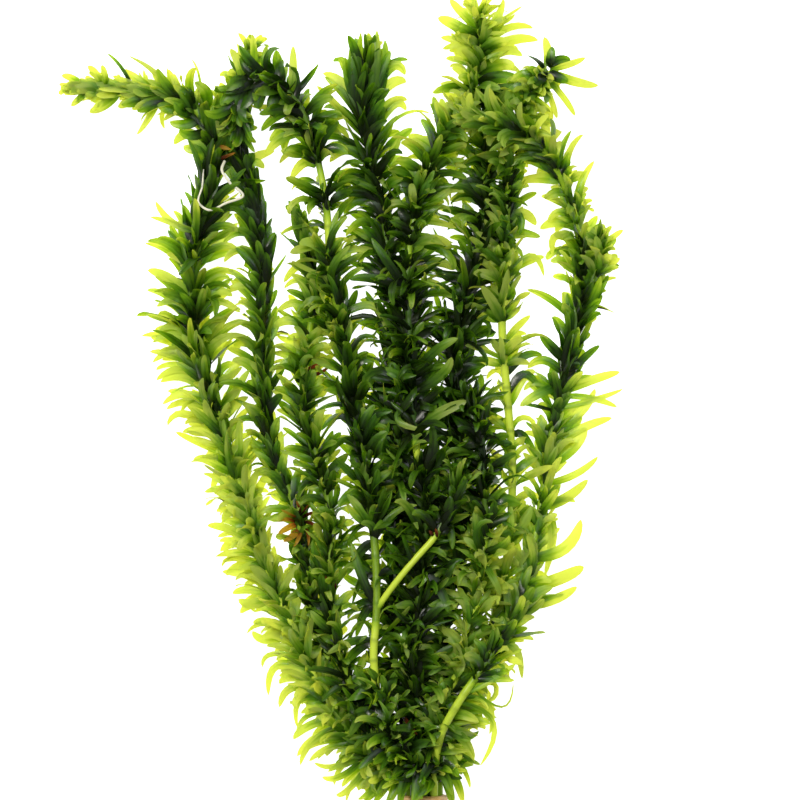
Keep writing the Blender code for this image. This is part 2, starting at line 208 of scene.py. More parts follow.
SHOOTS = [
    Shoot("shoot_far_left", tied(-1.5, 1, 843) + free(
        (390, 768, 6.8), (352, 736, 8.0), (325, 695, 8.2), (298, 640, 6.4), (264, 560, 5.2),
        (238, 480, 4.8), (213, 400, 4.8), (194, 320, 4.8), (194, 255, 4.8), (208, 190, 5.0),
        (213, 145, 6.0), (192, 107, 6.6), (150, 93, 6.4), (105, 90, 6.2),
        (72, 88, 6.6)), seed=11, bud=2.0, habit=[
        (0.0, 50, 120, 9, 0.4, 0.9, 0), (0.15, 50, 125, 9, 0.8, 0.8, 0.4),
        (0.22, 35, 95, 10, 1.0, 0.7, 0.4), (0.32, 35, 100, 10, 1.0, 0.7, 0.6),
        (0.4, 35, 95, 10, 0.85, 0.6, 0.4), (0.55, 45, 100, 13, 0.6, 0.7, 0),
        (0.66, 40, 95, 13.5, 0.4, 0.6, -0.3), (0.72, 34, 85, 14, 0.35, 0.6, -0.6),
        (0.77, 26, 60, 13, 0.15, 0.5, -0.4), (0.82, 35, 85, 10, 0.3, 0.8, -0.4),
        (0.88, 14, 30, 10, 0.65, 0.5, 0), (0.93, 9, 16, 9, 0.8, 0.3, 0), (1.0, 5, 10, 5, 0.85, 0.2, 0)]),
    Shoot("shoot_left", tied(-1, 0, 850) + free(
        (394, 768, 3.2), (358, 728, 3.6), (330, 677, 4.4), (310, 610, 5.0), (305, 555, 5.2),
        (295, 505, 5.2), (272, 455, 5.0), (264, 400, 4.8), (262, 330, 4.8), (261, 250, 4.8),
        (251, 190, 5.0), (238, 140, 5.2), (238, 100, 5.2), (245, 70, 5.6), (251, 50, 6.2)), seed=12, habit=[
        (0.0, 45, 110, 9, 0.3, 0.9, 0), (0.24, 45, 115, 9, 0.55, 1.0, 0.6),
        (0.4, 40, 110, 9, 0.55, 1.0, 0.6), (0.47, 30, 75, 9.5, 0.45, 0.7, 0.6),
        (0.58, 20, 50, 10, 0.4, 0.6, 0.8), (0.66, 35, 90, 10, 0.4, 0.6, 1.4),
        (0.76, 22, 50, 11, 0.2, 0.2, 2.5), (0.84, 14, 30, 11, 0.05, 0.1, 2.5),
        (0.9, 35, 90, 9, 0.3, 0.6, 0), (1.0, 30, 80, 7, 0.4, 0.5, 0)]),
    Shoot("shoot_left_centre", tied(-1, 2, 838) + free(
        (399, 762, 9.4), (367, 722, 10.4), (346, 672, 10.0), (332, 620, 9.2), (329, 575, 8.6),
        (332, 520, 8.0), (322, 475, 7.5), (307, 425, 6.4), (303, 380, 5.6), (309, 335, 5.2),
        (315, 290, 5.2), (309, 250, 5.8), (296, 212, 7.0)), seed=13, habit=[
        (0.0, 50, 120, 9.5, 0.2, 0.9, 0), (0.28, 45, 110, 10, 0.5, 1.1, -0.8),
        (0.45, 45, 110, 10, 0.5, 1.1, -0.8), (0.5, 45, 110, 10, 0.45, 1.1, 0),
        (0.57, 45, 115, 9.5, 0.35, 1.0, 0), (0.65, 50, 120, 9, 0.55, 0.8, -0.6),
        (0.78, 50, 125, 9, 0.7, 0.8, 0), (0.86, 30, 80, 9, 0.45, 0.6, -0.5),
        (0.92, 18, 45, 9, 0.3, 0.3, -1.2), (1.0, 10, 20, 5, 0.2, 0.2, -1.0)]),
    Shoot("shoot_arching", tied(0, 2, 852) + free(
        (411, 758, 12.0), (383, 712, 14.5), (374, 660, 15.0), (377, 605, 14.0), (376, 560, 12.8),
        (369, 495, 10.4), (362, 440, 8.6), (350, 385, 7.6), (341, 330, 9.0), (331, 270, 11.5),
        (327, 210, 12.5), (315, 150, 12.5), (297, 104, 13.5), (266, 80, 15.0), (243, 94, 14.8),
        (240, 134, 11.0)), seed=14,
        habit=[
        (0.0, 50, 120, 9.5, 0.15, 0.9, 0), (0.17, 45, 110, 10, 0.25, 1.0, 0),
        (0.4, 40, 90, 11, 0.3, 0.9, 0), (0.45, 40, 95, 11, 0.3, 0.9, -0.5),
        (0.52, 35, 85, 11, 0.3, 0.8, -0.7), (0.57, 40, 95, 10, 0.5, 0.8, 0.8),
        (0.63, 50, 115, 10, 0.6, 0.8, 0.8), (0.7, 50, 110, 11.5, 0.45, 0.9, 0),
        (0.84, 50, 110, 12, 0.3, 0.9, 0), (0.92, 40, 90, 8.5, 0.05, 0.9, 0), (1.0, 20, 60, 9, 0.2, 0.3, 0)],
        windows=[(0.205, 0.275, 1.0), (0.275, 0.37, 0.45), (0.695, 0.742, 0.9), (0.768, 0.79, 0.85)]),
    Shoot("shoot_centre", tied(0, 0, 846) + free(
        (411, 745, 3.8), (398, 690, 4.6), (392, 630, 5.2), (396, 560, 5.2), (400, 490, 5.2),
        (396, 420, 5.2), (392, 350, 5.2), (389, 280, 5.2), (384, 220, 5.2), (371, 165, 5.2),
        (364, 115, 5.4), (367, 75, 6.0), (372, 46, 6.6)), seed=15, bud=1.6, habit=[
        (0.0, 50, 120, 10, 0.0, 1.1, 0), (0.3, 45, 110, 12, 0.25, 1.4, 0), (0.5, 35, 85, 13, 0.15, 1.3, 0),
        (0.6, 35, 85, 12, 0.0, 1.2, -0.6), (0.68, 40, 95, 12, 0.05, 1.2, -0.5),
        (0.74, 45, 95, 12.5, 0.15, 1.1, 0), (0.8, 45, 95, 12, 0.2, 0.9, 0),
        (0.87, 40, 90, 12, 0.25, 0.6, 0), (0.9, 22, 45, 13, 0.1, 0.2, 0), (0.95, 14, 26, 11, 0.1, 0.15, 0),
        (1.0, 6, 16, 5, 0.3, 0.1, 0)]),
    Shoot("shoot_right_centre", tied(-0.5, 1, 840) + free(
        (419, 745, 8.0), (416, 690, 9.6), (416, 630, 10.4), (423, 560, 10.4), (425, 500, 10.4),
        (416, 445, 10.4), (411, 385, 10.4), (409, 320, 10.4), (408, 262, 10.4), (413, 225, 10.0),
        (427, 175, 9.2), (443, 140, 9.4), (464, 106, 10.5)), seed=16, habit=[
        (0.0, 50, 120, 10, 0.0, 1.1, 0), (0.3, 45, 110, 12, 0.25, 1.4, 0), (0.55, 40, 100, 13, 0.0, 1.3, 0),
        (0.72, 50, 110, 13, 0.05, 1.1, 0), (0.82, 55, 110, 12, 0.45, 0.9, 0),
        (0.92, 45, 95, 10, 0.5, 0.8, 0),
        (1.0, 20, 60, 8, 0.6, 0.3, 0)], per_whorl=9, windows=[(0.505, 0.535, 0.9), (0.772, 0.79, 0.9)]),
    Shoot("shoot_top_right", tied(1, 0, 849) + free(
        (433, 745, 3.8), (438, 690, 4.4), (446, 630, 5.0), (456, 560, 5.0), (463, 490, 5.0),
        (458, 420, 5.0), (453, 365, 5.0), (464, 310, 5.0), (479, 255, 5.0), (487, 190, 5.0),
        (482, 130, 5.0), (475, 80, 5.4), (480, 42, 6.0), (478, 14, 6.8)), seed=17, habit=[
        (0.0, 50, 120, 10, 0.0, 1.1, 0), (0.3, 50, 115, 10, 0.3, 1.3, 0), (0.45, 45, 100, 13, 0.0, 1.4, 0),
        (0.66, 45, 100, 13, -0.1, 1.3, 0), (0.75, 55, 115, 11, 0.25, 1.1, 0),
        (0.85, 55, 115, 10, 0.5, 0.9, 0), (0.91, 60, 105, 10.5, 0.6, 1.0, 0),
        (0.97, 60, 95, 10, 0.75, 0.9, 0), (1.0, 35, 70, 9, 0.9, 0.5, 0)],
        per_whorl=9, sparse=[(0.95, 1.0, 0.75)]),
    Shoot("shoot_short", tied(0.5, 1, 836) + free(
        (434, 742, 8.0), (450, 692, 9.8), (468, 635, 10.6), (481, 575, 10.8), (485, 510, 11.0),
        (481, 450, 11.2), (471, 400, 12.5)), seed=18, habit=[
        (0.0, 50, 120, 10, 0.1, 1.1, 0), (0.35, 50, 115, 10, 0.8, 1.2, 0), (0.6, 50, 115, 10, 0.95, 1.2, 0),
        (0.8, 45, 100, 11, 0.0, 1.2, 0), (1.0, 20, 50, 12, -0.1, 0.8, 0)]),
    Shoot("shoot_right", tied(1.5, 1, 843) + free(
        (447, 748, 5.8), (464, 695, 5.8), (486, 645, 6.2), (502, 585, 6.6), (510, 530, 6.8),
        (512, 460, 6.8), (507, 395, 6.8), (502, 330, 7.6), (503, 265, 8.6), (508, 200, 9.0),
        (511, 150, 9.4), (520, 115, 11.5), (535, 88, 15.0), (545, 74, 19.5)), seed=19, per_whorl=7, habit=[
        (0.0, 50, 120, 10, 0.4, 0.9, 0), (0.2, 50, 120, 10, 0.85, 1.0, 0),
        (0.38, 45, 105, 10, 1.05, 1.0, 0), (0.5, 32, 85, 11, 1.05, 0.8, 0),
        (0.6, 45, 105, 10, 1.05, 0.9, 0), (0.7, 35, 85, 9.5, 0.85, 0.8, 0.4),
        (0.8, 45, 100, 8.5, 0.4, 0.8, 0.6), (0.9, 50, 110, 9, 0.6, 0.9, 0.2),
        (0.97, 55, 100, 7, 0.5, 0.4, 0), (1.0, 55, 95, 6, 0.3, 0.2, 0)],
        windows=[(0.35, 0.385, 0.9), (0.41, 0.47, 0.9), (0.485, 0.54, 0.85), (0.555, 0.6, 0.95),
                 (0.625, 0.65, 0.8)]),
    Shoot("shoot_far_right", tied(1, 2, 848) + free(
        (435, 762, 10.8), (441, 732, 13.2), (456, 703, 14.8), (480, 668, 14.8), (503, 633, 13.0),
        (524, 592, 9.2), (534, 545, 7.0), (543, 495, 5.8), (549, 450, 5.2), (559, 398, 5.2),
        (573, 340, 5.2), (582, 285, 5.2), (581, 250, 5.2), (572, 212, 5.6), (560, 178, 7.4),
        (540, 150, 12.0), (508, 131, 17.0), (467, 118, 18.5)), seed=20, bare=4, per_whorl=7, habit=[
        (0.0, 50, 120, 9, 0.6, 1.0, 0), (0.14, 50, 120, 8, 0.75, 1.0, 0), (0.2, 45, 110, 9, 0.7, 0.9, 0),
        (0.25, 28, 70, 10, 0.3, 0.6, -0.5), (0.35, 28, 60, 9, 0.65, 0.5, -0.3),
        (0.48, 24, 60, 9, 0.6, 0.5, -0.3), (0.57, 20, 50, 9, 0.35, 0.4, 0),
        (0.62, 14, 40, 11, 0.05, 0.4, 0), (0.66, 32, 85, 11, 0.2, 0.5, 0.4),
        (0.71, 38, 95, 10.5, 0.35, 0.7, 0.5), (0.8, 42, 110, 8.5, 0.6, 0.8, 0),
        (0.86, 35, 90, 9.5, 0.6, 0.7, -0.2), (0.92, 22, 60, 11, 0.5, 0.5, 0),
        (1.0, 10, 26, 10, 0.65, 0.3, 0)],
        windows=[(0.06, 0.215, 0.9)], sparse=[(0.33, 0.58, 0.8), (0.74, 0.86, 0.8)]),
    Shoot("branch_centre", free(
        (378, 606, 14.2), (386, 594, 14.8), (402, 573, 15.8), (420, 552, 16.0), (434, 536, 15.8),
        (447, 510, 15.4), (458, 474, 15.2)), branch=True, bare=4, seed=21, bud=0.6, habit=[
        (0.0, 45, 90, 10, 0.15, 1.0, 0), (1.0, 30, 70, 10, 0.15, 1.0, 0)], windows=[(0, 0.6, 1.0)]),
    Shoot("branch_right", free(
        (593, 281, 7.2), (598, 262, 8.0), (600, 232, 9.0)), branch=True, bare=0, seed=22, bud=0.5, habit=[
        (0.0, 40, 90, 7, 0.5, 0.5, 0), (1.0, 25, 60, 6.5, 0.6, 0.4, 0)]),
]


STEM_SIDES = 12
RING_STEP = 1.0 * MM              # between the rings of points along a stem
SWELLING_LENGTH = 0.55 * MM       # of the swollen ring at a whorl
CLOSED_END = 0.3                  # the tip ring's size, as a share of the stem's
TONE_RINGS = 5                    # over which the stem's tone is evened out
CREASE = 60                       # degrees from which an edge looks sharp


def tube_points(route, distances, radii, around):
    """The points of a round tube along a route, ring by ring."""
    places, _, sides, ups = route.at(distances)
    angles = np.linspace(0, 2 * math.pi, around, endpoint=False)[:, None]
    rays = sides[:, None] * np.cos(angles) + ups[:, None] * np.sin(angles)
    return places[:, None] + rays * radii[:, None, None]


def grid_faces(rows, around):
    """Quads over a tube of rows rings with around points each, and a face over each end."""
    low = np.arange(rows - 1)[:, None] * around + np.arange(around)[None, :]
    beside = np.arange(rows - 1)[:, None] * around + (np.arange(around)[None, :] + 1) % around
    quads = np.stack([low, low + around, beside + around, beside], -1).reshape(-1, 4).tolist()
    top = (rows - 1) * around
    return quads + [list(range(around)), list(range(top + around - 1, top - 1, -1))]


def add_piece(name, points, faces, material, values=None):
    """A mesh piece that rides on the bunch, with a number per point for each named value."""
    mesh = bpy.data.meshes.new(name)
    mesh.from_pydata(np.asarray(points).reshape(-1, 3).tolist(), [], faces)
    for label, numbers in (values or {}).items():
        layer = mesh.attributes.new(label, "FLOAT", "POINT")
        layer.data.foreach_set("value", np.ascontiguousarray(numbers, dtype=np.float32).ravel())
    mesh.shade_smooth()
    mesh.set_sharp_from_angle(angle=math.radians(CREASE))
    mesh.materials.append(material)
    piece = bpy.data.objects.new(name, mesh)
    bpy.context.scene.collection.objects.link(piece)
    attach(piece, "root")
    return piece


def linear(colour):
    """An sRGB hex colour as the linear values that Blender's sockets take."""
    parts = [int(colour[k:k + 2], 16) / 255 for k in (1, 3, 5)]
    return [c / 12.92 if c <= 0.04045 else ((c + 0.055) / 1.055) ** 2.4 for c in parts] + [1.0]


def new_material(name):
    material = bpy.data.materials.new(name)
    material.use_nodes = True
    material.node_tree.nodes.clear()
    return material


def add_node(material, kind, settings=None, steps=(), **links):
    """A shader node with its settings, a ramp's steps, and its inputs set to values or joined to outputs.

    An input is named, with _ for each space, or numbered after a _.
    """
    node = material.node_tree.nodes.new("ShaderNode" + kind)
    for key, value in (settings or {}).items():
        setattr(node, key, value)
    if steps:
        elements = node.color_ramp.elements
        elements[0].position, elements[1].position = steps[0][0], steps[-1][0]
        for position, _ in steps[1:-1]:
            elements.new(position)
        for element, (_, colour) in zip(elements, steps):
            element.color = linear(colour)
    for key, value in links.items():
        socket = node.inputs[int(key[1:])] if key[0] == "_" else node.inputs[key.replace("_", " ")]
        if isinstance(value, bpy.types.NodeSocket):
            material.node_tree.links.new(value, socket)
        else:
            socket.default_value = value
    return node


def living_stem():
    """Soft green stem under a film of water: yellow-green between the whorls, darker at the nodes.

    Light passes into its air channels, so nearly a third of what the eye gets comes from inside it.
    """
    made = new_material("living waterweed stem")
    tone, knot, turn, run = [
        add_node(made, "Attribute", {"attribute_name": label}).outputs["Fac"]
        for label in ("tone", "knot", "turn", "run")]
    skin = add_node(made, "CombineXYZ", X=turn, Y=run)
    # rows of long cells, drawn about 0.13 mm wide, 28 of them over half the girth, and 1.5 mm long, which
    # is coarser than the real ones, to show
    cells = add_node(made, "Mapping", Vector=skin.outputs[0], Scale=(28.0, 0.65 / MM, 1.0))
    flat = {"noise_dimensions": "2D"}
    streaks = add_node(made, "TexNoise", flat, Vector=cells.outputs[0], Scale=1.0, Detail=3.0)
    # patches about 11 mm long, as one part of a stem is older than the next
    patches = add_node(made, "TexNoise", flat, Vector=skin.outputs[0], Scale=0.09 / MM, Detail=2.0)
    scaled_and_added = {"operation": "MULTIPLY_ADD"}
    mixed = add_node(made, "Math", scaled_and_added, _0=streaks.outputs["Fac"], _1=0.35, _2=tone)
    mixed = add_node(made, "Math", scaled_and_added, _0=patches.outputs["Fac"], _1=0.3, _2=mixed.outputs[0])
    mixed = add_node(made, "Math", {"operation": "SUBTRACT"}, _0=mixed.outputs[0], _1=0.32)
    green = add_node(made, "ValToRGB", steps=[
        (0.0, "#34501a"), (0.35, "#6d8f24"), (0.65, "#aace2c"), (1.0, "#dcee4c")], Fac=mixed.outputs[0])
    ring = add_node(made, "Math", {"operation": "MULTIPLY"}, _0=knot, _1=0.5)
    # inputs 6 and 7 of a Mix node are its two colours
    colour = add_node(
        made, "Mix", {"data_type": "RGBA"}, _0=ring.outputs[0], _6=green.outputs[0], _7=linear("#41701a"))
    bump = add_node(made, "Bump", Strength=0.25, Distance=0.08 * MM, Height=streaks.outputs["Fac"])
    skin_shader = add_node(
        made, "BsdfPrincipled", Base_Color=colour.outputs[2], Roughness=0.3, IOR=1.4, Normal=bump.outputs[0])
    glow = add_node(made, "BsdfTranslucent", Color=colour.outputs[2], Normal=bump.outputs[0])
    both = add_node(made, "MixShader", Fac=0.3, _1=skin_shader.outputs[0], _2=glow.outputs[0])
    add_node(made, "OutputMaterial", Surface=both.outputs[0])
    return made


def stem_piece(shoot, material):
    """The stem as a round tube, with a swollen ring at each whorl and a closed cut end and tip."""
    distances = np.arange(0.0, shoot.route.length, RING_STEP)
    distances = np.append(distances, shoot.route.length)
    nearest = np.abs(distances[:, None] - shoot.whorls[None, :]).min(1)
    knots = np.exp(-(nearest / SWELLING_LENGTH) ** 2)
    radii = shoot.stem_radius(distances) + NODE_SWELLING * knots
    radii[-1] *= CLOSED_END
    points = tube_points(shoot.route, distances, radii, STEM_SIDES)
    bare = np.array([shoot.window_tone(distance) for distance in distances])
    tones = np.maximum(shoot.habit_at(distances)[3], bare)
    tones = np.convolve(tones, np.ones(TONE_RINGS) / TONE_RINGS, mode="same")
    spread = np.ones(STEM_SIDES)
    values = {
        "tone": tones[:, None] * spread, "knot": knots[:, None] * spread, "run": distances[:, None] * spread,
        "turn": np.tile(np.abs(np.linspace(-1, 1, STEM_SIDES)), (len(distances), 1))}
    faces = grid_faces(len(distances), STEM_SIDES)
    add_piece(shoot.node + "_stem", points, faces, material, values)


stem_green = living_stem()
for shoot in SHOOTS:
    stem_piece(shoot, stem_green)


# Leaves
# Narrow leaves with a short point stand round the stem in whorls of seven to nine, close above each other,
# and grew in one piece with it. Each is only two cells thick, so light shines through it, and it curls back
# towards its tip. Wet leaves cling together in bundles and shine.

LEAF_WIDTH = 2.75 * MM
LEAF_THICKNESS = 0.15 * MM
LOWEST = 0.35 * MM                # for the middle of a blade that lies on the floor
FLOOR_ROOM = 0.1 * MM             # between the floor and any point of a leaf
HIGHEST = solid_box[1][2] - 0.3 * MM
EASING = 2.5 * MM                 # the height over which a blade bends to lie on the floor

# A blade is a row of sections. Each corner of one has its place across, as a share of half the width, and
# its face: 1 above, -1 below and 0 at the edge.
STATIONS = (0.0, 0.1, 0.22, 0.35, 0.48, 0.61, 0.74, 0.86, 0.95, 1.0)   # shares of a leaf's length
SECTION = [(-1.0, 0), (-0.4, 1), (0.4, 1), (1.0, 0), (0.4, -1), (-0.4, -1)]

# The width at each share of a leaf's length, as a share of the full width: a strap with a short point
OUTLINE_PLACES = (0, 0.1, 0.25, 0.45, 0.6, 0.75, 0.87, 0.95, 1)
OUTLINE_WIDTHS = (0.6, 0.85, 1, 1, 0.97, 0.88, 0.71, 0.47, 0.12)

# How far leaves stray on a neat stretch, and what a fully tangled one adds
LEAN = (0.1, 0.3)                 # slope to one side, from the foot on
SWING = (0.15, 0.35)              # radians round the stem
SWAY = (0.15, 0.5)                # slope to one side that a blade reaches at its tip
BUNDLE_SWAY = (0.2, 0.7)          # the same, for the leaves of a wet bundle together
BUNDLE_SWING = (0.3, 0.5)         # the share of the way to its bundle's middle that a leaf is pulled
SAG = (0.35, 0.6)                 # the most slope downwards that it reaches at its tip
TWIST = (0.07, 0.25)              # radians about the blade's own line, from section to section
FOLD = (0.3, 0.4)                 # the most radians that each half folds at the midrib

LEAST_FOLD = 0.05
BEND_POWER = (0.8, 3.2)           # of the share of the length: a low one bends early, a high one late
FLATTENING = (0.05, 0.35)         # how much each section turns to lie level, as a share
WAVES = (9, 16)                   # radians of ripple along a blade's edge
RIPPLE = 0.2                      # the ripple's height at most, as a share of half the width
FULL_TURN = 6.28                  # radians, near enough


def strayed(spread, tangle):
    """How far leaves stray that are tangled by a share, from the neat value and what a full tangle adds."""
    return spread[0] + spread[1] * tangle


def blade_points(middles, headings, wide, width, fold, ripple):
    """The points of closed blades along their middle lines, as leaf, station, section and axis."""
    along = np.array(STATIONS)
    thick = np.cross(wide, headings)
    half = 0.5 * width[:, None] * np.interp(along, OUTLINE_PLACES, OUTLINE_WIDTHS)[None, :]
    points = np.zeros((*middles.shape[:2], len(SECTION), 3))
    for corner, (across, face) in enumerate(SECTION):
        reach = across * half * np.cos(fold)
        lift = abs(across) * half * np.sin(fold) + across * half * ripple + face * LEAF_THICKNESS / 2
        points[:, :, corner] = middles + wide * reach[..., None] + thick * lift[..., None]
    points[..., 2] = np.maximum(points[..., 2], FLOOR_ROOM)
    return points


def grow_blades(roots, forward, outward, length, width, first, last, swing, roll, tangle, random):
    """Blades that leave the stem at their first angle, bend back to their last, and settle on the floor."""
    count = len(roots)
    along = np.array(STATIONS)
    tangent = unit(np.cross(outward, forward))
    lean = random.normal(0, strayed(LEAN, tangle))[:, None]
    forward = unit(forward + tangent * lean)
    swing = (-swing + random.normal(0, strayed(SWING, tangle)))[:, None]
    aim = unit(outward * np.cos(swing) + tangent * np.sin(swing))
    sway = (roll * strayed(BUNDLE_SWAY, tangle) + random.normal(0, strayed(SWAY, tangle)))[:, None]
    sag = random.uniform(0.0, strayed(SAG, tangle))
    bend_at = random.uniform(*BEND_POWER, count)
    turn = random.normal(0, strayed(TWIST, tangle))[:, None]
    flatten = random.uniform(*FLATTENING, count)[:, None]
    place, wide = roots.copy(), tangent.copy()
    middles, headings, wides = [], [], []
    for share, step in zip(along, np.diff(along, append=1.0)):
        angle = (first + (last - first) * share ** bend_at)[:, None]
        heading = forward * np.cos(angle) + aim * np.sin(angle) + tangent * (sway * share)
        heading[:, 2] -= sag * share
        heading = unit(heading)
        steepest = [(limit - place[:, 2]) / EASING for limit in (LOWEST, HIGHEST)]
        heading[:, 2] = np.clip(heading[:, 2], *steepest)
        heading = unit(heading)
        level = np.cross((0, 0, 1), heading)
        level *= np.where((level * wide).sum(-1, keepdims=True) < 0, -1.0, 1.0)
        wide = unit(wide - heading * (wide * heading).sum(-1, keepdims=True))
        wide = unit(wide + level * flatten + np.cross(heading, wide) * turn)
        wide = unit(wide - heading * (wide * heading).sum(-1, keepdims=True))
        middles.append(place.copy())
        headings.append(heading)
        wides.append(wide)
        place = place + heading * (length * step)[:, None]
    fold = random.uniform(LEAST_FOLD, strayed(FOLD, tangle))[:, None]
    wave = random.uniform(*WAVES, count)[:, None] * along[None, :]
    wave = wave + random.uniform(0, FULL_TURN, count)[:, None]
    ripple = random.uniform(0.0, RIPPLE, count)[:, None] * np.sin(wave)
    return blade_points(np.stack(middles, 1), np.stack(headings, 1), np.stack(wides, 1), width, fold, ripple)


LAID_FOOT_SHARE = 0.8             # of the stem's radius, where a laid leaf begins
LAID_HUMP = (0.4, 1.6)            # millimetres that its middle stands up
LAID_ROLL = 0.35                  # radians, the spread of how it is turned about its own line
LAID_TWIST = 0.3                  # and of how much further it turns by its tip
LAID_WIDTH_SPREAD = 0.06
LAID_FOLD = (0.05, 0.4)           # radians


def lay_blades(shoot, rows, random):
    """Blades laid one by one, each from the stem beside its root's pixel, through its middle, to its tip."""
    rows = np.array(rows, dtype=float)
    count = len(rows)
    along = np.array(STATIONS)[None, :, None]
    near = np.array([spot(x, y, 0) for x, y in rows[:, :2]])
    middle = np.array([spot(x, y, 0) for x, y in rows[:, 2:4]])
    tip = np.array([spot(x, y, z) for x, y, z in rows[:, 4:7]])
    apart = np.linalg.norm(shoot.route.places[None, :, :2] - near[:, None, :2], axis=-1)
    stem = shoot.route.places[apart.argmin(1)]
    away = (middle - stem) * (1, 1, 0)
    root = stem + unit(away) * STEM_RADIUS * LAID_FOOT_SHARE
    middle[:, 2] = (root[:, 2] + tip[:, 2]) / 2 + random.uniform(*LAID_HUMP, count) * MM
    bend = 2 * middle - (root + tip) / 2
    middles = (1 - along) ** 2 * root[:, None] + 2 * along * (1 - along) * bend[:, None]
    middles = middles + along ** 2 * tip[:, None]
    middles[..., 2] = np.clip(middles[..., 2], LOWEST, HIGHEST)
    headings = unit(np.gradient(middles, axis=1))
    roll = random.normal(0, LAID_ROLL, count)[:, None, None]
    roll = roll + random.normal(0, LAID_TWIST, count)[:, None, None] * along
    level = unit(np.cross((0, 0, 1), headings))
    wide = level * np.cos(roll) + np.cross(headings, level) * np.sin(roll)
    width = LEAF_WIDTH * rows[:, 8] * random.normal(1, LAID_WIDTH_SPREAD, count)
    fold = random.uniform(*LAID_FOLD, count)[:, None]
    return blade_points(middles, headings, wide, width, fold, np.zeros((count, 1)))


STRETCH = 9 * MM                  # of stem along which the leaves lie alike
CLUMP_SPACING = 5 * MM            # between the wet bundles that leaves cling together in


def drift(shoot, distances, random):
    """A value from -1 to 1 that drifts along a shoot, for stretches whose leaves lie and look alike."""
    knots = np.arange(0, shoot.route.length + STRETCH, STRETCH)
    return np.interp(distances, knots, random.uniform(-1, 1, len(knots)))


def wet_clumps(shoot, distances, angles, random):
    """How far each leaf swings round the stem, bends and rolls, as wet leaves cling together in bundles."""
    count = int(shoot.route.length / CLUMP_SPACING)
    where = random.uniform(0, shoot.route.length, count)
    around = random.uniform(0, 2 * math.pi, count)
    bend, roll = [random.normal(0, 1, count) for _ in range(2)]
    turned = (around[None, :] - angles[:, None] + math.pi) % (2 * math.pi) - math.pi
    apart = np.hypot((where[None, :] - distances[:, None]) / CLUMP_SPACING, turned)
    leaves = np.arange(len(angles))
    nearest = apart.argmin(1)
    pull = np.exp(-apart[leaves, nearest] ** 2 / 2)
    return turned[leaves, nearest] * pull, bend[nearest] * pull, roll[nearest] * pull


def blade_faces(count):
    """The faces of a number of blades, whose points follow each other blade by blade."""
    one = grid_faces(len(STATIONS), len(SECTION))
    size = len(STATIONS) * len(SECTION)
    return [[corner + leaf * size for corner in face] for leaf in range(count) for face in one]


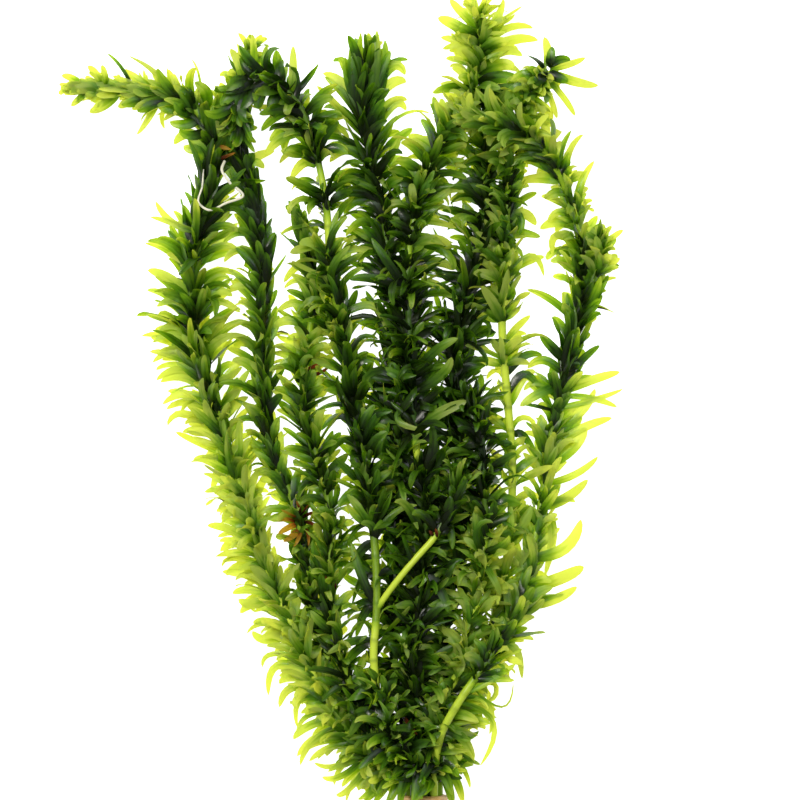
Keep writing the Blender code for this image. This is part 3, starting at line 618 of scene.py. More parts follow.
def living_leaf():
    """Leaf tissue two cells thick under a film of water: dark green on top, yellow-green with light behind.

    Old tissue is dark and lets less light through, young tissue is pale, and the film gives a patchy gloss.
    The tone also holds painted shade, where leaves lie deep or crowd at the stem, and painted backlight where
    they stand out against the floor, and its palest greens are a painted sheen.
    """
    made = new_material("living waterweed leaf")
    tone, along, across, which, withered = [
        add_node(made, "Attribute", {"attribute_name": label}).outputs["Fac"]
        for label in ("tone", "along", "across", "which", "withered")]
    # scales are per half width, 1.4 mm, and per length, about 11 mm; the third sets the leaves apart
    blade = add_node(made, "CombineXYZ", X=across, Y=along, Z=which)
    # rows of cells along the blade, drawn about 0.15 mm wide and 3 mm long, coarser than the real ones, so
    # that they show
    rows = add_node(made, "Mapping", Vector=blade.outputs[0], Scale=(6.0, 2.2, 40.0))
    cells = add_node(made, "TexNoise", Vector=rows.outputs[0], Scale=1.6, Detail=4.0, Roughness=0.6)
    # patches about 1.4 mm wide and 4 mm long, which differ in tone and in how much water lies on them
    patches = add_node(made, "Mapping", Vector=blade.outputs[0], Scale=(1.0, 2.5, 23.0))
    patches = add_node(made, "TexNoise", Vector=patches.outputs[0], Scale=1.0, Detail=2.0)
    edge = add_node(made, "Math", {"operation": "ABSOLUTE"}, _0=across)
    # the midrib is darker than the blade beside it, and the foot darker than the tip, which is painted shade
    # where the leaves crowd at the stem and painted backlight towards their free tips
    midrib = add_node(
        made, "MapRange", Value=edge.outputs[0], From_Min=0.05, From_Max=0.3, To_Min=-0.12, To_Max=0.0)
    tip = add_node(made, "MapRange", Value=along, From_Min=0.05, From_Max=0.85, To_Min=-0.42, To_Max=0.42)
    mixed = add_node(made, "Math", {"operation": "ADD"}, _0=tone, _1=tip.outputs[0])
    mixed = add_node(made, "Math", {"operation": "ADD"}, _0=mixed.outputs[0], _1=midrib.outputs[0])
    scaled_and_added = {"operation": "MULTIPLY_ADD"}
    mixed = add_node(made, "Math", scaled_and_added, _0=patches.outputs["Fac"], _1=0.5, _2=mixed.outputs[0])
    mixed = add_node(made, "Math", scaled_and_added, _0=cells.outputs["Fac"], _1=0.3, _2=mixed.outputs[0])
    mixed = add_node(made, "Math", {"operation": "SUBTRACT"}, _0=mixed.outputs[0], _1=0.4)
    # the two palest steps are a greyer, bluer green than young tissue alone: a painted sheen of the water
    # film
    seen = add_node(made, "ValToRGB", steps=[
        (0.0, "#171f08"), (0.25, "#293d0c"), (0.5, "#466a16"), (0.75, "#7ca438"), (1.0, "#c0d878")],
        Fac=mixed.outputs[0])
    through = add_node(made, "ValToRGB", steps=[
        (0.0, "#709c20"), (0.25, "#a0cc32"), (0.5, "#c2e246"), (0.75, "#dae85a"), (1.0, "#f0f284")],
        Fac=mixed.outputs[0])
    # half of the leaves are a little bluer than the rest, each by its own amount
    cool = add_node(made, "MapRange", Value=which, From_Min=0.5, From_Max=1.0, To_Min=0.0, To_Max=0.6)
    seen = add_node(
        made, "Mix", {"data_type": "RGBA", "blend_type": "MULTIPLY"}, _0=cool.outputs[0], _6=seen.outputs[0],
        _7=linear("#bcf4d4"))
    brown = add_node(
        made, "ValToRGB", steps=[(0.0, "#28120a"), (0.5, "#70381a"), (1.0, "#b8943c")], Fac=mixed.outputs[0])
    amber = add_node(
        made, "ValToRGB", steps=[(0.0, "#6a2a12"), (0.5, "#cc7030"), (1.0, "#fce068")], Fac=mixed.outputs[0])
    colours = {"data_type": "RGBA"}
    seen = add_node(made, "Mix", colours, _0=withered, _6=seen.outputs[2], _7=brown.outputs[0])
    through = add_node(made, "Mix", colours, _0=withered, _6=through.outputs[0], _7=amber.outputs[0])
    share = add_node(
        made, "MapRange", Value=mixed.outputs[0], From_Min=0.0, From_Max=1.0, To_Min=0.42, To_Max=0.78)
    bump = add_node(made, "Bump", Strength=0.35, Distance=0.06 * MM, Height=cells.outputs["Fac"])
    film = add_node(
        made, "MapRange", Value=patches.outputs["Fac"], From_Min=0.35, From_Max=0.65, To_Min=0.18,
        To_Max=0.42)
    skin = add_node(
        made, "BsdfPrincipled", Base_Color=seen.outputs[2], Roughness=film.outputs[0], IOR=1.47,
        Normal=bump.outputs[0])
    glow = add_node(made, "BsdfTranslucent", Color=through.outputs[2], Normal=bump.outputs[0])
    both = add_node(made, "MixShader", Fac=share.outputs[0], _1=skin.outputs[0], _2=glow.outputs[0])
    add_node(made, "OutputMaterial", Surface=both.outputs[0])
    return made


# Leaves that stand out by themselves, laid one by one. Each row is the pixel beside its root, the pixel of
# its middle and the pixel of its tip, then the tip's height in millimetres, the tone, and the width as a
# share of the usual one.
# the tones of these leaves hold painted light and shade as well: high for leaves that stand out against the
# glowing floor, low for those deep in the bunch
LAID = {
    "shoot_far_left": [
        (85, 84, 73, 79, 62, 76, 7, 0.8, 0.8), (106, 84, 97, 75, 89, 67, 9, 1.0, 0.9),
        (108, 84, 106, 75, 103, 66, 9, 0.9, 0.8), (134, 86, 122, 68, 108, 54, 8, 0.3, 0.45),
        (180, 92, 155, 72, 130, 57, 9, 1.0, 1.0), (92, 95, 80, 99, 71, 106, 5, 0.7, 0.8),
        (120, 98, 104, 106, 89, 112, 4, 0.85, 1.2), (158, 104, 148, 118, 136, 133, 3, 0.95, 1.1),
        (190, 108, 176, 112, 164, 120, 4, 0.85, 1.0), (200, 118, 186, 124, 170, 122, 7, 0.4, 1.3),
        (205, 130, 192, 136, 180, 130, 8, 0.3, 1.3), (186, 104, 172, 108, 158, 105, 8, 0.4, 1.3),
        (170, 100, 152, 106, 138, 112, 8, 0.3, 1.3), (150, 98, 136, 102, 122, 105, 8, 0.35, 1.2),
        (206, 140, 196, 148, 184, 146, 7, 0.6, 1.4), (208, 120, 222, 104, 216, 88, 12, 0.4, 1.5),
        (204, 112, 208, 96, 196, 84, 12, 0.5, 1.4), (200, 110, 190, 94, 178, 90, 11, 0.3, 1.5),
        (212, 140, 226, 128, 236, 132, 13, 0.3, 1.5), (196, 106, 184, 112, 176, 104, 12, 0.2, 1.3),
        (206, 112, 200, 80, 192, 60, 8, 0.7, 0.4), (211, 150, 190, 134, 174, 144, 5, 0.8, 1.1),
        (208, 172, 202, 152, 189, 139, 9, 0.7, 1.5), (213, 150, 222, 138, 216, 122, 11, 0.6, 1.3),
        (197, 230, 172, 222, 155, 201, 3, 1.0, 0.8), (197, 234, 172, 224, 150, 217, 3, 1.0, 0.8),
        (194, 268, 180, 258, 166, 253, 3, 0.9, 1.0), (194, 300, 170, 280, 147, 270, 3, 1.0, 1.3),
        (197, 318, 176, 300, 156, 306, 3, 1.0, 1.1), (200, 345, 178, 326, 158, 330, 3, 0.9, 1.1),
        (205, 372, 182, 352, 158, 352, 3, 1.0, 1.1), (208, 400, 184, 378, 160, 382, 3, 1.0, 1.1),
        (214, 418, 190, 402, 166, 409, 3, 1.0, 1.0), (198, 300, 220, 300, 240, 312, 5, 0.8, 1.0),
        (207, 382, 226, 380, 242, 367, 5, 0.9, 1.0), (226, 440, 204, 430, 182, 432, 3, 0.9, 1.0),
        (233, 470, 216, 458, 198, 462, 3, 0.95, 1.0), (240, 500, 222, 488, 204, 492, 3, 0.9, 1.0),
        (246, 524, 232, 512, 222, 522, 3, 0.9, 1.0), (254, 548, 236, 540, 220, 552, 3, 0.95, 1.0),
        (262, 580, 244, 566, 226, 576, 3, 1.0, 1.1), (272, 598, 254, 604, 238, 600, 3, 1.0, 1.1),
        (282, 622, 258, 604, 240, 614, 3, 1.0, 1.1), (296, 648, 270, 626, 247, 634, 3, 1.0, 1.3),
        (306, 672, 276, 666, 268, 696, 3, 0.9, 1.0), (300, 664, 272, 654, 262, 668, 3, 1.0, 0.6),
        (314, 690, 290, 688, 279, 708, 3, 0.85, 0.9), (322, 702, 300, 700, 297, 728, 3, 0.8, 0.8),
        (332, 720, 308, 726, 293, 740, 3, 0.9, 1.0), (340, 735, 316, 738, 297, 757, 3, 1.0, 1.1),
        (350, 748, 328, 748, 309, 762, 3, 0.85, 0.8), (372, 758, 345, 764, 334, 786, 3, 0.85, 0.7),
        (380, 762, 356, 778, 346, 803, 3, 1.0, 0.6), (384, 766, 364, 772, 368, 796, 3, 0.8, 0.6),
        (392, 770, 378, 786, 364, 802, 6, 0.35, 1.1), (376, 760, 352, 760, 328, 772, 5, 0.7, 0.7),
        (346, 744, 322, 742, 306, 752, 3, 0.8, 0.8), (358, 752, 336, 766, 314, 764, 3, 0.9, 0.8),
        (366, 756, 342, 776, 322, 778, 3, 0.7, 0.8), (374, 760, 350, 788, 336, 796, 3, 0.9, 0.8),
        (384, 764, 372, 788, 358, 800, 4, 0.5, 0.8), (336, 728, 312, 742, 300, 766, 3, 0.9, 0.7),
        (272, 600, 250, 590, 232, 594, 3, 1.0, 1.0), (266, 586, 244, 574, 222, 572, 3, 1.0, 1.0),
        (290, 636, 266, 640, 252, 632, 3, 1.0, 1.0), (205, 366, 178, 350, 152, 362, 3, 0.95, 1.0),
        (202, 350, 176, 334, 152, 342, 3, 0.95, 1.1), (210, 406, 184, 394, 162, 404, 3, 1.0, 1.0),
        (206, 384, 180, 370, 156, 380, 3, 1.0, 1.0), (205, 262, 222, 246, 238, 252, 5, 0.8, 1.0),
        (200, 290, 218, 272, 236, 276, 5, 0.7, 1.0), (206, 240, 224, 226, 240, 234, 5, 0.6, 1.0),
        (198, 310, 216, 292, 232, 296, 5, 0.8, 1.0), (330, 712, 306, 716, 296, 734, 3, 0.7, 0.8)],
    "shoot_left": [
        (262, 330, 232, 322, 208, 344, 5, 0.95, 0.8), (268, 444, 256, 414, 234, 399, 7, 0.3, 0.6),
        (266, 424, 240, 420, 229, 446, 5, 0.6, 0.8), (258, 290, 274, 272, 286, 254, 3, 0.3, 0.5),
        (250, 180, 252, 160, 274, 151, 5, 0.95, 1.1), (247, 168, 256, 162, 264, 168, 5, 0.8, 0.9),
        (262, 240, 238, 232, 222, 244, 5, 0.5, 1.0), (262, 262, 240, 250, 224, 262, 5, 0.7, 1.0),
        (262, 300, 244, 286, 228, 292, 5, 0.8, 1.0), (396, 770, 386, 786, 374, 803, 6, 0.3, 1.1),
        (390, 764, 372, 772, 358, 790, 7, 0.5, 1.0), (352, 722, 330, 724, 312, 738, 3, 0.6, 0.9),
        (360, 736, 336, 744, 318, 760, 3, 0.5, 0.9), (370, 748, 350, 762, 330, 770, 3, 0.4, 0.9),
        (378, 756, 356, 772, 342, 788, 3, 0.6, 0.9)],
    "shoot_left_centre": [
        (306, 256, 292, 242, 279, 231, 4, 0.2, 0.25), (309, 262, 296, 268, 284, 282, 4, 0.9, 0.9),
        (314, 292, 298, 280, 284, 288, 4, 0.8, 0.8), (304, 254, 300, 230, 296, 207, 9, 0.35, 1.6),
        (312, 314, 294, 302, 276, 312, 4, 0.85, 1.0), (309, 328, 288, 320, 272, 328, 4, 0.9, 1.1),
        (312, 330, 338, 318, 348, 330, 7, 0.7, 1.0), (306, 372, 288, 362, 276, 374, 5, 0.6, 1.0),
        (402, 766, 396, 784, 386, 804, 12, 0.3, 1.1), (398, 760, 386, 776, 376, 794, 11, 0.2, 1.0)],
    "shoot_arching": [
        (249, 92, 240, 66, 232, 52, 15, 0.95, 1.0), (256, 84, 256, 60, 254, 38, 16, 0.6, 1.1),
        (268, 80, 266, 64, 268, 49, 16, 0.4, 0.8), (290, 98, 294, 76, 294, 49, 14, 1.0, 1.0),
        (316, 152, 296, 150, 280, 164, 8, 0.9, 1.1), (320, 168, 304, 164, 291, 180, 8, 0.8, 1.1),
        (306, 122, 286, 128, 270, 142, 9, 0.5, 1.1), (308, 132, 282, 140, 266, 156, 8, 0.7, 1.1),
        (300, 112, 278, 118, 262, 132, 10, 0.3, 1.1), (302, 116, 288, 134, 284, 152, 8, 0.4, 1.1),
        (310, 130, 326, 118, 342, 116, 14, 0.4, 1.3), (305, 118, 320, 104, 334, 100, 15, 0.5, 1.2),
        (318, 160, 334, 150, 348, 156, 14, 0.3, 1.2), (262, 82, 252, 98, 242, 112, 17, 0.1, 1.6),
        (272, 82, 262, 96, 260, 112, 17, 0.05, 1.5), (284, 94, 274, 104, 276, 120, 16, 0.2, 1.5),
        (256, 84, 240, 84, 228, 94, 17, 0.3, 1.5), (250, 90, 234, 96, 222, 108, 16, 0.35, 1.5),
        (340, 318, 372, 306, 386, 330, 11, 0.75, 0.9), (342, 322, 380, 322, 389, 372, 9, 0.05, 0.6),
        (346, 372, 358, 340, 378, 339, 9, 0.1, 0.6), (348, 384, 360, 362, 374, 362, 9, 0.2, 1.0),
        (358, 432, 340, 416, 322, 430, 8, 0.1, 0.7), (361, 452, 346, 440, 330, 456, 8, 0.2, 0.8),
        (356, 412, 338, 404, 318, 410, 8, 0.15, 0.6), (368, 506, 362, 482, 367, 458, 13, 0.4, 1.6),
        (371, 520, 384, 508, 392, 490, 14, 0.3, 1.1), (376, 640, 352, 640, 328, 652, 14, 0.5, 1.1),
        (374, 540, 360, 552, 348, 574, 10, 0.2, 1.0), (376, 570, 360, 580, 352, 604, 10, 0.15, 1.0),
        (377, 600, 364, 612, 356, 636, 10, 0.2, 1.0), (375, 640, 360, 646, 346, 662, 10, 0.2, 1.0),
        (372, 520, 356, 528, 346, 546, 9, 0.25, 1.0), (376, 604, 362, 574, 352, 542, 13, 0.3, 1.2),
        (375, 690, 384, 712, 398, 690, 17, 0.5, 1.1), (378, 700, 362, 714, 350, 734, 12, 0.3, 1.1),
        (411, 760, 404, 780, 400, 803, 15, 0.25, 1.1), (410, 756, 416, 776, 412, 800, 16, 0.2, 1.0)],
    "shoot_centre": [
        (368, 130, 354, 88, 353, 40, 8, 0.25, 1.3), (368, 126, 360, 84, 361, 34, 9, 0.35, 1.1),
        (370, 130, 374, 84, 377, 32, 9, 0.45, 1.3), (370, 122, 382, 84, 385, 41, 8, 0.3, 1.1),
        (366, 118, 379, 76, 390, 52, 9, 0.3, 1.2), (364, 120, 350, 84, 346, 58, 7, 0.3, 1.1),
        (362, 112, 344, 84, 323, 73, 5, 1.0, 1.0), (366, 140, 338, 108, 317, 86, 5, 0.8, 1.1),
        (370, 92, 390, 64, 408, 60, 6, 0.2, 0.7), (370, 106, 390, 68, 405, 75, 7, 0.6, 1.2),
        (370, 112, 390, 84, 406, 82, 5, 0.9, 1.3), (372, 136, 388, 106, 407, 100, 5, 0.8, 1.3),
        (372, 144, 392, 106, 406, 110, 5, 0.8, 1.1), (376, 150, 400, 116, 430, 113, 5, 0.7, 0.4),
        (372, 166, 348, 150, 330, 162, 6, 0.6, 1.1), (376, 186, 352, 176, 336, 190, 6, 0.4, 1.1),
        (382, 210, 360, 200, 344, 214, 6, 0.3, 1.1), (386, 236, 364, 222, 346, 236, 6, 0.5, 1.1),
        (388, 262, 370, 246, 352, 252, 6, 0.3, 1.1), (396, 500, 408, 508, 418, 528, 15, 0.4, 0.8),
        (380, 196, 356, 180, 338, 172, 8, 0.3, 1.1), (378, 200, 360, 188, 342, 200, 7, 0.5, 1.0)],
    "shoot_right_centre": [
        (430, 168, 415, 150, 401, 144, 9, 0.6, 1.3), (424, 178, 408, 165, 396, 162, 9, 0.5, 1.3),
        (436, 158, 424, 150, 412, 139, 9, 0.7, 1.2), (420, 190, 404, 182, 392, 188, 10, 0.3, 1.3),
        (446, 142, 438, 116, 433, 97, 8, 0.4, 1.0), (436, 156, 430, 132, 421, 120, 8, 0.3, 0.9),
        (416, 224, 434, 222, 456, 228, 8, 0.8, 1.1), (412, 250, 432, 240, 452, 246, 8, 0.9, 1.1),
        (410, 272, 434, 262, 454, 270, 8, 0.7, 1.1), (409, 296, 428, 284, 446, 292, 8, 0.8, 1.0),
        (416, 378, 434, 352, 457, 339, 16, 0.5, 1.1), (418, 392, 440, 376, 451, 358, 16, 0.55, 1.2),
        (408, 398, 398, 420, 426, 430, 15, 0.7, 0.7), (418, 428, 440, 412, 466, 401, 16, 0.8, 1.4),
        (414, 430, 398, 452, 392, 478, 14, 0.3, 1.2), (424, 500, 446, 520, 452, 548, 14, 0.25, 1.1),
        (418, 620, 412, 604, 394, 605, 16, 0.45, 1.1), (416, 668, 426, 666, 440, 664, 17, 0.4, 0.6),
        (424, 560, 440, 588, 450, 612, 14, 0.3, 1.1), (422, 762, 416, 778, 422, 796, 14, 0.2, 1.1),
        (420, 770, 410, 776, 402, 792, 15, 0.1, 1.1), (423, 766, 424, 780, 414, 798, 15, 0.3, 1.0),
        (418, 758, 404, 762, 392, 776, 15, 0.2, 1.1), (416, 640, 406, 632, 408, 656, 15, 0.6, 0.9)],
    "shoot_top_right": [
        (476, 42, 456, 26, 438, 18, 6, 0.75, 1.4), (478, 56, 460, 42, 441, 37, 5, 1.0, 1.1),
        (478, 32, 462, 14, 450, 0, 7, 0.9, 1.1), (478, 24, 476, 10, 474, -3, 8, 0.9, 1.0),
        (479, 40, 494, 22, 503, -1, 7, 0.9, 1.3), (480, 34, 502, 20, 522, 6, 6, 0.8, 0.5),
        (480, 52, 506, 30, 533, 28, 5, 1.0, 1.1), (480, 62, 508, 42, 538, 40, 5, 1.0, 1.2),
        (480, 84, 500, 78, 522, 84, 12, 0.3, 1.5), (480, 92, 502, 92, 524, 88, 13, 0.1, 1.5),
        (482, 100, 506, 104, 528, 98, 12, 0.5, 1.5), (482, 112, 504, 116, 524, 128, 11, 0.6, 1.5),
        (481, 108, 500, 100, 516, 110, 13, 0.4, 1.4), (480, 76, 498, 66, 514, 68, 11, 0.7, 1.4),
        (480, 118, 496, 106, 506, 92, 12, 0.5, 1.4), (479, 70, 470, 56, 456, 52, 11, 0.7, 1.4),
        (478, 50, 486, 36, 484, 20, 12, 0.8, 1.5), (480, 60, 492, 46, 508, 44, 12, 0.8, 1.5),
        (478, 46, 468, 34, 458, 30, 12, 0.3, 1.3), (479, 96, 468, 80, 458, 80, 10, 0.6, 1.4),
        (477, 72, 462, 54, 449, 51, 6, 0.9, 0.6), (476, 90, 462, 72, 452, 68, 6, 1.0, 1.1),
        (479, 104, 460, 86, 440, 84, 6, 0.9, 0.9), (477, 86, 500, 66, 520, 72, 7, 1.0, 1.2),
        (478, 78, 500, 52, 522, 56, 7, 1.0, 1.2), (484, 222, 466, 214, 448, 226, 6, 0.5, 1.0)],
    "shoot_right": [
        (545, 74, 546, 56, 543, 40, 14, 0.95, 1.1), (545, 74, 566, 68, 584, 60, 13, 1.0, 0.9),
        (538, 84, 524, 78, 510, 84, 14, 0.5, 1.4), (536, 88, 528, 100, 532, 116, 13, 0.7, 1.3),
        (532, 94, 516, 92, 504, 102, 12, 0.6, 1.4), (528, 100, 540, 108, 548, 122, 10, 0.8, 1.2),
        (524, 108, 512, 106, 500, 116, 11, 0.5, 1.4), (545, 76, 572, 84, 597, 87, 12, 1.0, 1.3),
        (544, 80, 562, 100, 574, 117, 11, 1.0, 0.7), (542, 84, 550, 104, 556, 120, 12, 0.9, 0.7),
        (545, 74, 556, 66, 568, 65, 20, 0.1, 1.2), (545, 74, 556, 82, 566, 86, 20, 0.1, 1.2),
        (545, 74, 536, 64, 526, 60, 20, 0.1, 1.1), (545, 74, 538, 84, 530, 90, 20, 0.15, 1.1),
        (545, 74, 548, 64, 550, 52, 21, 0.1, 1.0), (508, 218, 524, 214, 536, 225, 5, 0.95, 1.1),
        (505, 284, 530, 256, 544, 276, 5, 0.95, 0.7), (506, 376, 524, 356, 542, 355, 6, 0.2, 0.9),
        (508, 394, 524, 374, 541, 391, 6, 0.15, 0.9), (444, 766, 456, 780, 463, 803, 6, 0.5, 1.1),
        (447, 756, 462, 768, 470, 788, 6, 0.6, 1.0), (440, 768, 448, 784, 453, 804, 8, 0.3, 1.1),
        (512, 436, 524, 436, 539, 461, 6, 0.2, 1.0), (512, 474, 526, 462, 538, 456, 6, 0.6, 1.0),
        (511, 530, 530, 508, 541, 530, 7, 0.7, 0.7), (498, 600, 516, 580, 520, 556, 8, 0.8, 0.9),
        (480, 660, 500, 652, 514, 664, 6, 0.7, 1.0)],
    "shoot_far_right": [
        (562, 392, 592, 380, 620, 372, 5, 1.0, 1.0), (556, 432, 580, 412, 595, 389, 5, 0.95, 1.2),
        (560, 408, 592, 400, 623, 389, 5, 0.95, 0.7), (562, 396, 592, 398, 617, 407, 5, 0.95, 0.8),
        (553, 448, 582, 428, 612, 418, 5, 1.0, 1.0), (552, 466, 572, 448, 586, 428, 6, 0.8, 1.3),
        (551, 484, 576, 474, 598, 457, 5, 1.0, 1.0), (545, 508, 568, 497, 588, 480, 5, 1.0, 1.2),
        (536, 560, 566, 547, 581, 520, 5, 1.0, 1.4), (526, 590, 562, 578, 584, 567, 5, 1.0, 1.4),
        (520, 606, 552, 600, 577, 587, 5, 1.0, 1.2), (538, 512, 553, 530, 545, 576, 6, 0.8, 1.1),
        (530, 560, 530, 580, 520, 600, 7, 0.8, 1.0), (558, 384, 538, 394, 520, 406, 8, 0.7, 1.0),
        (548, 408, 536, 406, 522, 404, 7, 0.2, 0.5), (560, 372, 544, 360, 528, 368, 5, 0.6, 1.0),
        (556, 396, 538, 382, 524, 390, 5, 0.7, 1.0), (549, 438, 536, 430, 526, 422, 6, 0.2, 0.5),
        (566, 364, 552, 348, 540, 335, 7, 0.1, 1.2), (500, 646, 516, 648, 522, 678, 8, 1.0, 1.2),
        (466, 690, 490, 676, 514, 662, 15, 1.0, 1.0), (464, 696, 488, 704, 489, 732, 12, 0.85, 0.8),
        (466, 704, 493, 722, 480, 764, 10, 0.95, 0.7), (446, 728, 462, 736, 474, 758, 9, 0.6, 1.1),
        (440, 740, 466, 756, 480, 764, 7, 0.4, 0.6), (484, 694, 502, 705, 513, 682, 8, 0.9, 0.3),
        (437, 768, 446, 776, 452, 792, 14, 0.3, 1.1), (437, 762, 448, 764, 458, 774, 14, 0.2, 1.1),
        (438, 752, 428, 764, 420, 780, 15, 0.1, 1.1), (438, 738, 430, 726, 422, 719, 14, 0.5, 1.1),
        (440, 744, 452, 756, 454, 774, 10, 0.7, 0.9), (563, 186, 560, 156, 571, 131, 7, 0.3, 0.8),
        (568, 200, 568, 158, 583, 135, 7, 0.9, 0.9), (576, 222, 580, 186, 594, 161, 6, 0.7, 0.9),
        (575, 226, 560, 212, 548, 222, 5, 0.7, 0.9), (578, 246, 556, 236, 553, 254, 5, 0.95, 0.9),
        (583, 262, 596, 246, 608, 254, 6, 0.9, 1.0)],
}


# Leaves that have died and turned brown, in the same kind of rows
WITHERED = {
    "shoot_far_left": [
        (213, 150, 222, 148, 232, 151, 11, 0.7, 0.5), (212, 160, 224, 158, 236, 154, 11, 0.4, 0.4)],
    "shoot_left": [
        (300, 520, 292, 515, 282, 509, 13, 0.8, 0.4), (301, 518, 300, 509, 297, 500, 14, 0.3, 0.35),
        (302, 519, 308, 514, 316, 511, 13, 0.1, 0.4), (300, 524, 289, 527, 279, 533, 11, 1.0, 0.7),
        (299, 526, 294, 534, 284, 541, 10, 1.0, 0.8), (302, 518, 305, 510, 309, 504, 14, 0.2, 0.3),
        (299, 522, 288, 519, 278, 521, 10, 0.8, 0.5), (302, 522, 309, 522, 317, 525, 12, 0.1, 0.4),
        (301, 526, 299, 536, 294, 546, 10, 0.8, 0.6), (303, 524, 308, 533, 309, 545, 11, 0.5, 0.5)],
    "shoot_left_centre": [
        (329, 592, 329, 584, 326, 575, 12, 0.3, 0.7), (330, 592, 334, 586, 333, 578, 12, 0.0, 0.6),
        (305, 372, 314, 366, 326, 362, 9, 0.5, 0.5), (304, 376, 318, 374, 330, 366, 9, 0.2, 0.5)],
    "shoot_centre": [
        (396, 712, 404, 716, 417, 731, 17, 0.1, 0.5), (396, 716, 402, 724, 412, 732, 17, 0.0, 0.4)],
    "branch_centre": [
        (434, 538, 432, 533, 429, 529, 18, 0.1, 0.4), (434, 538, 436, 533, 435, 527, 18, 0.2, 0.4)],
}


FORK_BARE_SHARE = 0.6             # of branch_centre, from the fork up, as its window has it
FORK_ROOM = 1.4 * MM              # beside its middle line


def covers_fork(points):
    """Which leaves lie over the bare lower part of branch_centre, which shows whole."""
    fork = next(shoot.route.places for shoot in SHOOTS if shoot.node == "branch_centre")
    bare = fork[:int(len(fork) * FORK_BARE_SHARE)]
    corners = points.reshape(len(points), -1, 1, 3)
    close = np.linalg.norm(corners[..., :2] - bare[:, :2], axis=-1) < FORK_ROOM
    return (close & (corners[..., 2] > bare[:, 2])).any((1, 2))


LEAF_SEED = 101                   # times a shoot's seed gives its leaves' seed
STANDING = 0.9                    # the share of the leaves that haven't dropped
DROPPED = 0.25                    # what the worst stretches have lost besides
WHORL_TURN_SPREAD = 0.15          # radians, from one whorl to the next
LEAF_TURN_SPREAD = 0.07           # of the angle between two leaves of a whorl
PUSHED_UP = 0.35                  # radians that the floor turns a leaf at the stem's side upwards
SHOWN_BELOW = 0.1                 # the sine of the angle above which a bare stretch has no leaf
ROOT_SHIFT = 0.5 * MM             # of a leaf's foot from its whorl's middle
FOOT_SHARE = 0.85                 # of the stem's radius, where a leaf begins


def leaf_feet(shoot, random):
    """Each leaf's foot, the stem's direction there, the way out of the stem, the distance and the angle."""
    places, directions, sides, ups = shoot.route.at(shoot.whorls)
    radii = shoot.stem_radius(shoot.whorls)
    turn = random.uniform(0, FULL_TURN)
    standing = STANDING - DROPPED * np.maximum(drift(shoot, shoot.whorls, random), 0)
    leaves = []
    for index, distance in enumerate(shoot.whorls):
        turn += math.pi / shoot.per_whorl + random.normal(0, WHORL_TURN_SPREAD)
        shown = shoot.window_tone(distance) > 0
        for leaf in range(shoot.per_whorl):
            angle = turn + 2 * math.pi * (leaf + random.normal(0, LEAF_TURN_SPREAD)) / shoot.per_whorl
            angle += PUSHED_UP * math.cos(angle)
            dropped = random.uniform() > standing[index] * shoot.kept(distance)
            if dropped or shown and math.sin(angle) > SHOWN_BELOW:
                continue
            out = sides[index] * math.cos(angle) + ups[index] * math.sin(angle)
            shift = directions[index] * random.normal(0, ROOT_SHIFT)
            foot = places[index] + out * radii[index] * FOOT_SHARE + shift
            leaves.append((foot, directions[index], out, distance, angle))
    return [np.array(column) for column in zip(*leaves)]


# Leaves on top of the stem lean forward along it, and the bunch's weight flattens them all.
UPRIGHT_GAIN = 1.4                # how much leaning grows with a leaf's aim upwards
UPRIGHT_FROM = 0.3                # less this, so that leaves at the side don't lean
MOST_OVER = 1.2                   # times up to this, by chance
FLATTER = 0.75                    # the share of an aim up or down that is left

# How the first angle to the stem strays, and how the last one does, in degrees or as a share of the angle
ANGLE_DRIFT = (16, 26)            # along a tangled shoot
ANGLE_IN_BUNDLE = (8, 36)         # with the wet bundle
ANGLE_ALONE = ((6, 14), (10, 34))   # leaf by leaf: on a neat stretch, and what a fully tangled one adds
PRESSED_FLAT = (0.7, 0.88)        # the share that a pressed leaf loses
OVER_FLAT = (0.45, 0.4)           # the share that a leaf on top loses
PRESSED_GAIN = 1.6                # so that leaves well short of the side are fully pressed too
HOOKED_SHARE = 0.35               # of leaves whose tip hooks further back
HOOK = (15, 65)                   # degrees that it does

LENGTH_SPREAD = (1.08, 0.25)      # mean and spread, as shares of the habit's length
LENGTH_LIMITS = (0.45, 1.6)
WIDTH_SPREAD = 0.15
YOUNG_LENGTH = 12 * MM            # of the tip, whose leaves are still growing
YOUNG_SHORTER = 0.35
YOUNG_NARROWER = 0.25

# What a leaf's tone gains or loses
SIDE_TONE = 0.24                  # painted backlight and shade: a leaf at the side is made lighter, as if light came up through it, and one on top darker
TOP_TONE = 0.3
DRIFT_TONE = 0.14
BUNDLE_TONE = 0.06
YOUNG_TONE = 0.1
# painted shade: leaves pressed to the stem lie in layers on it, and their tone is made darker
PRESSED_TONE = 0.3
TONE_SPREAD = 0.16


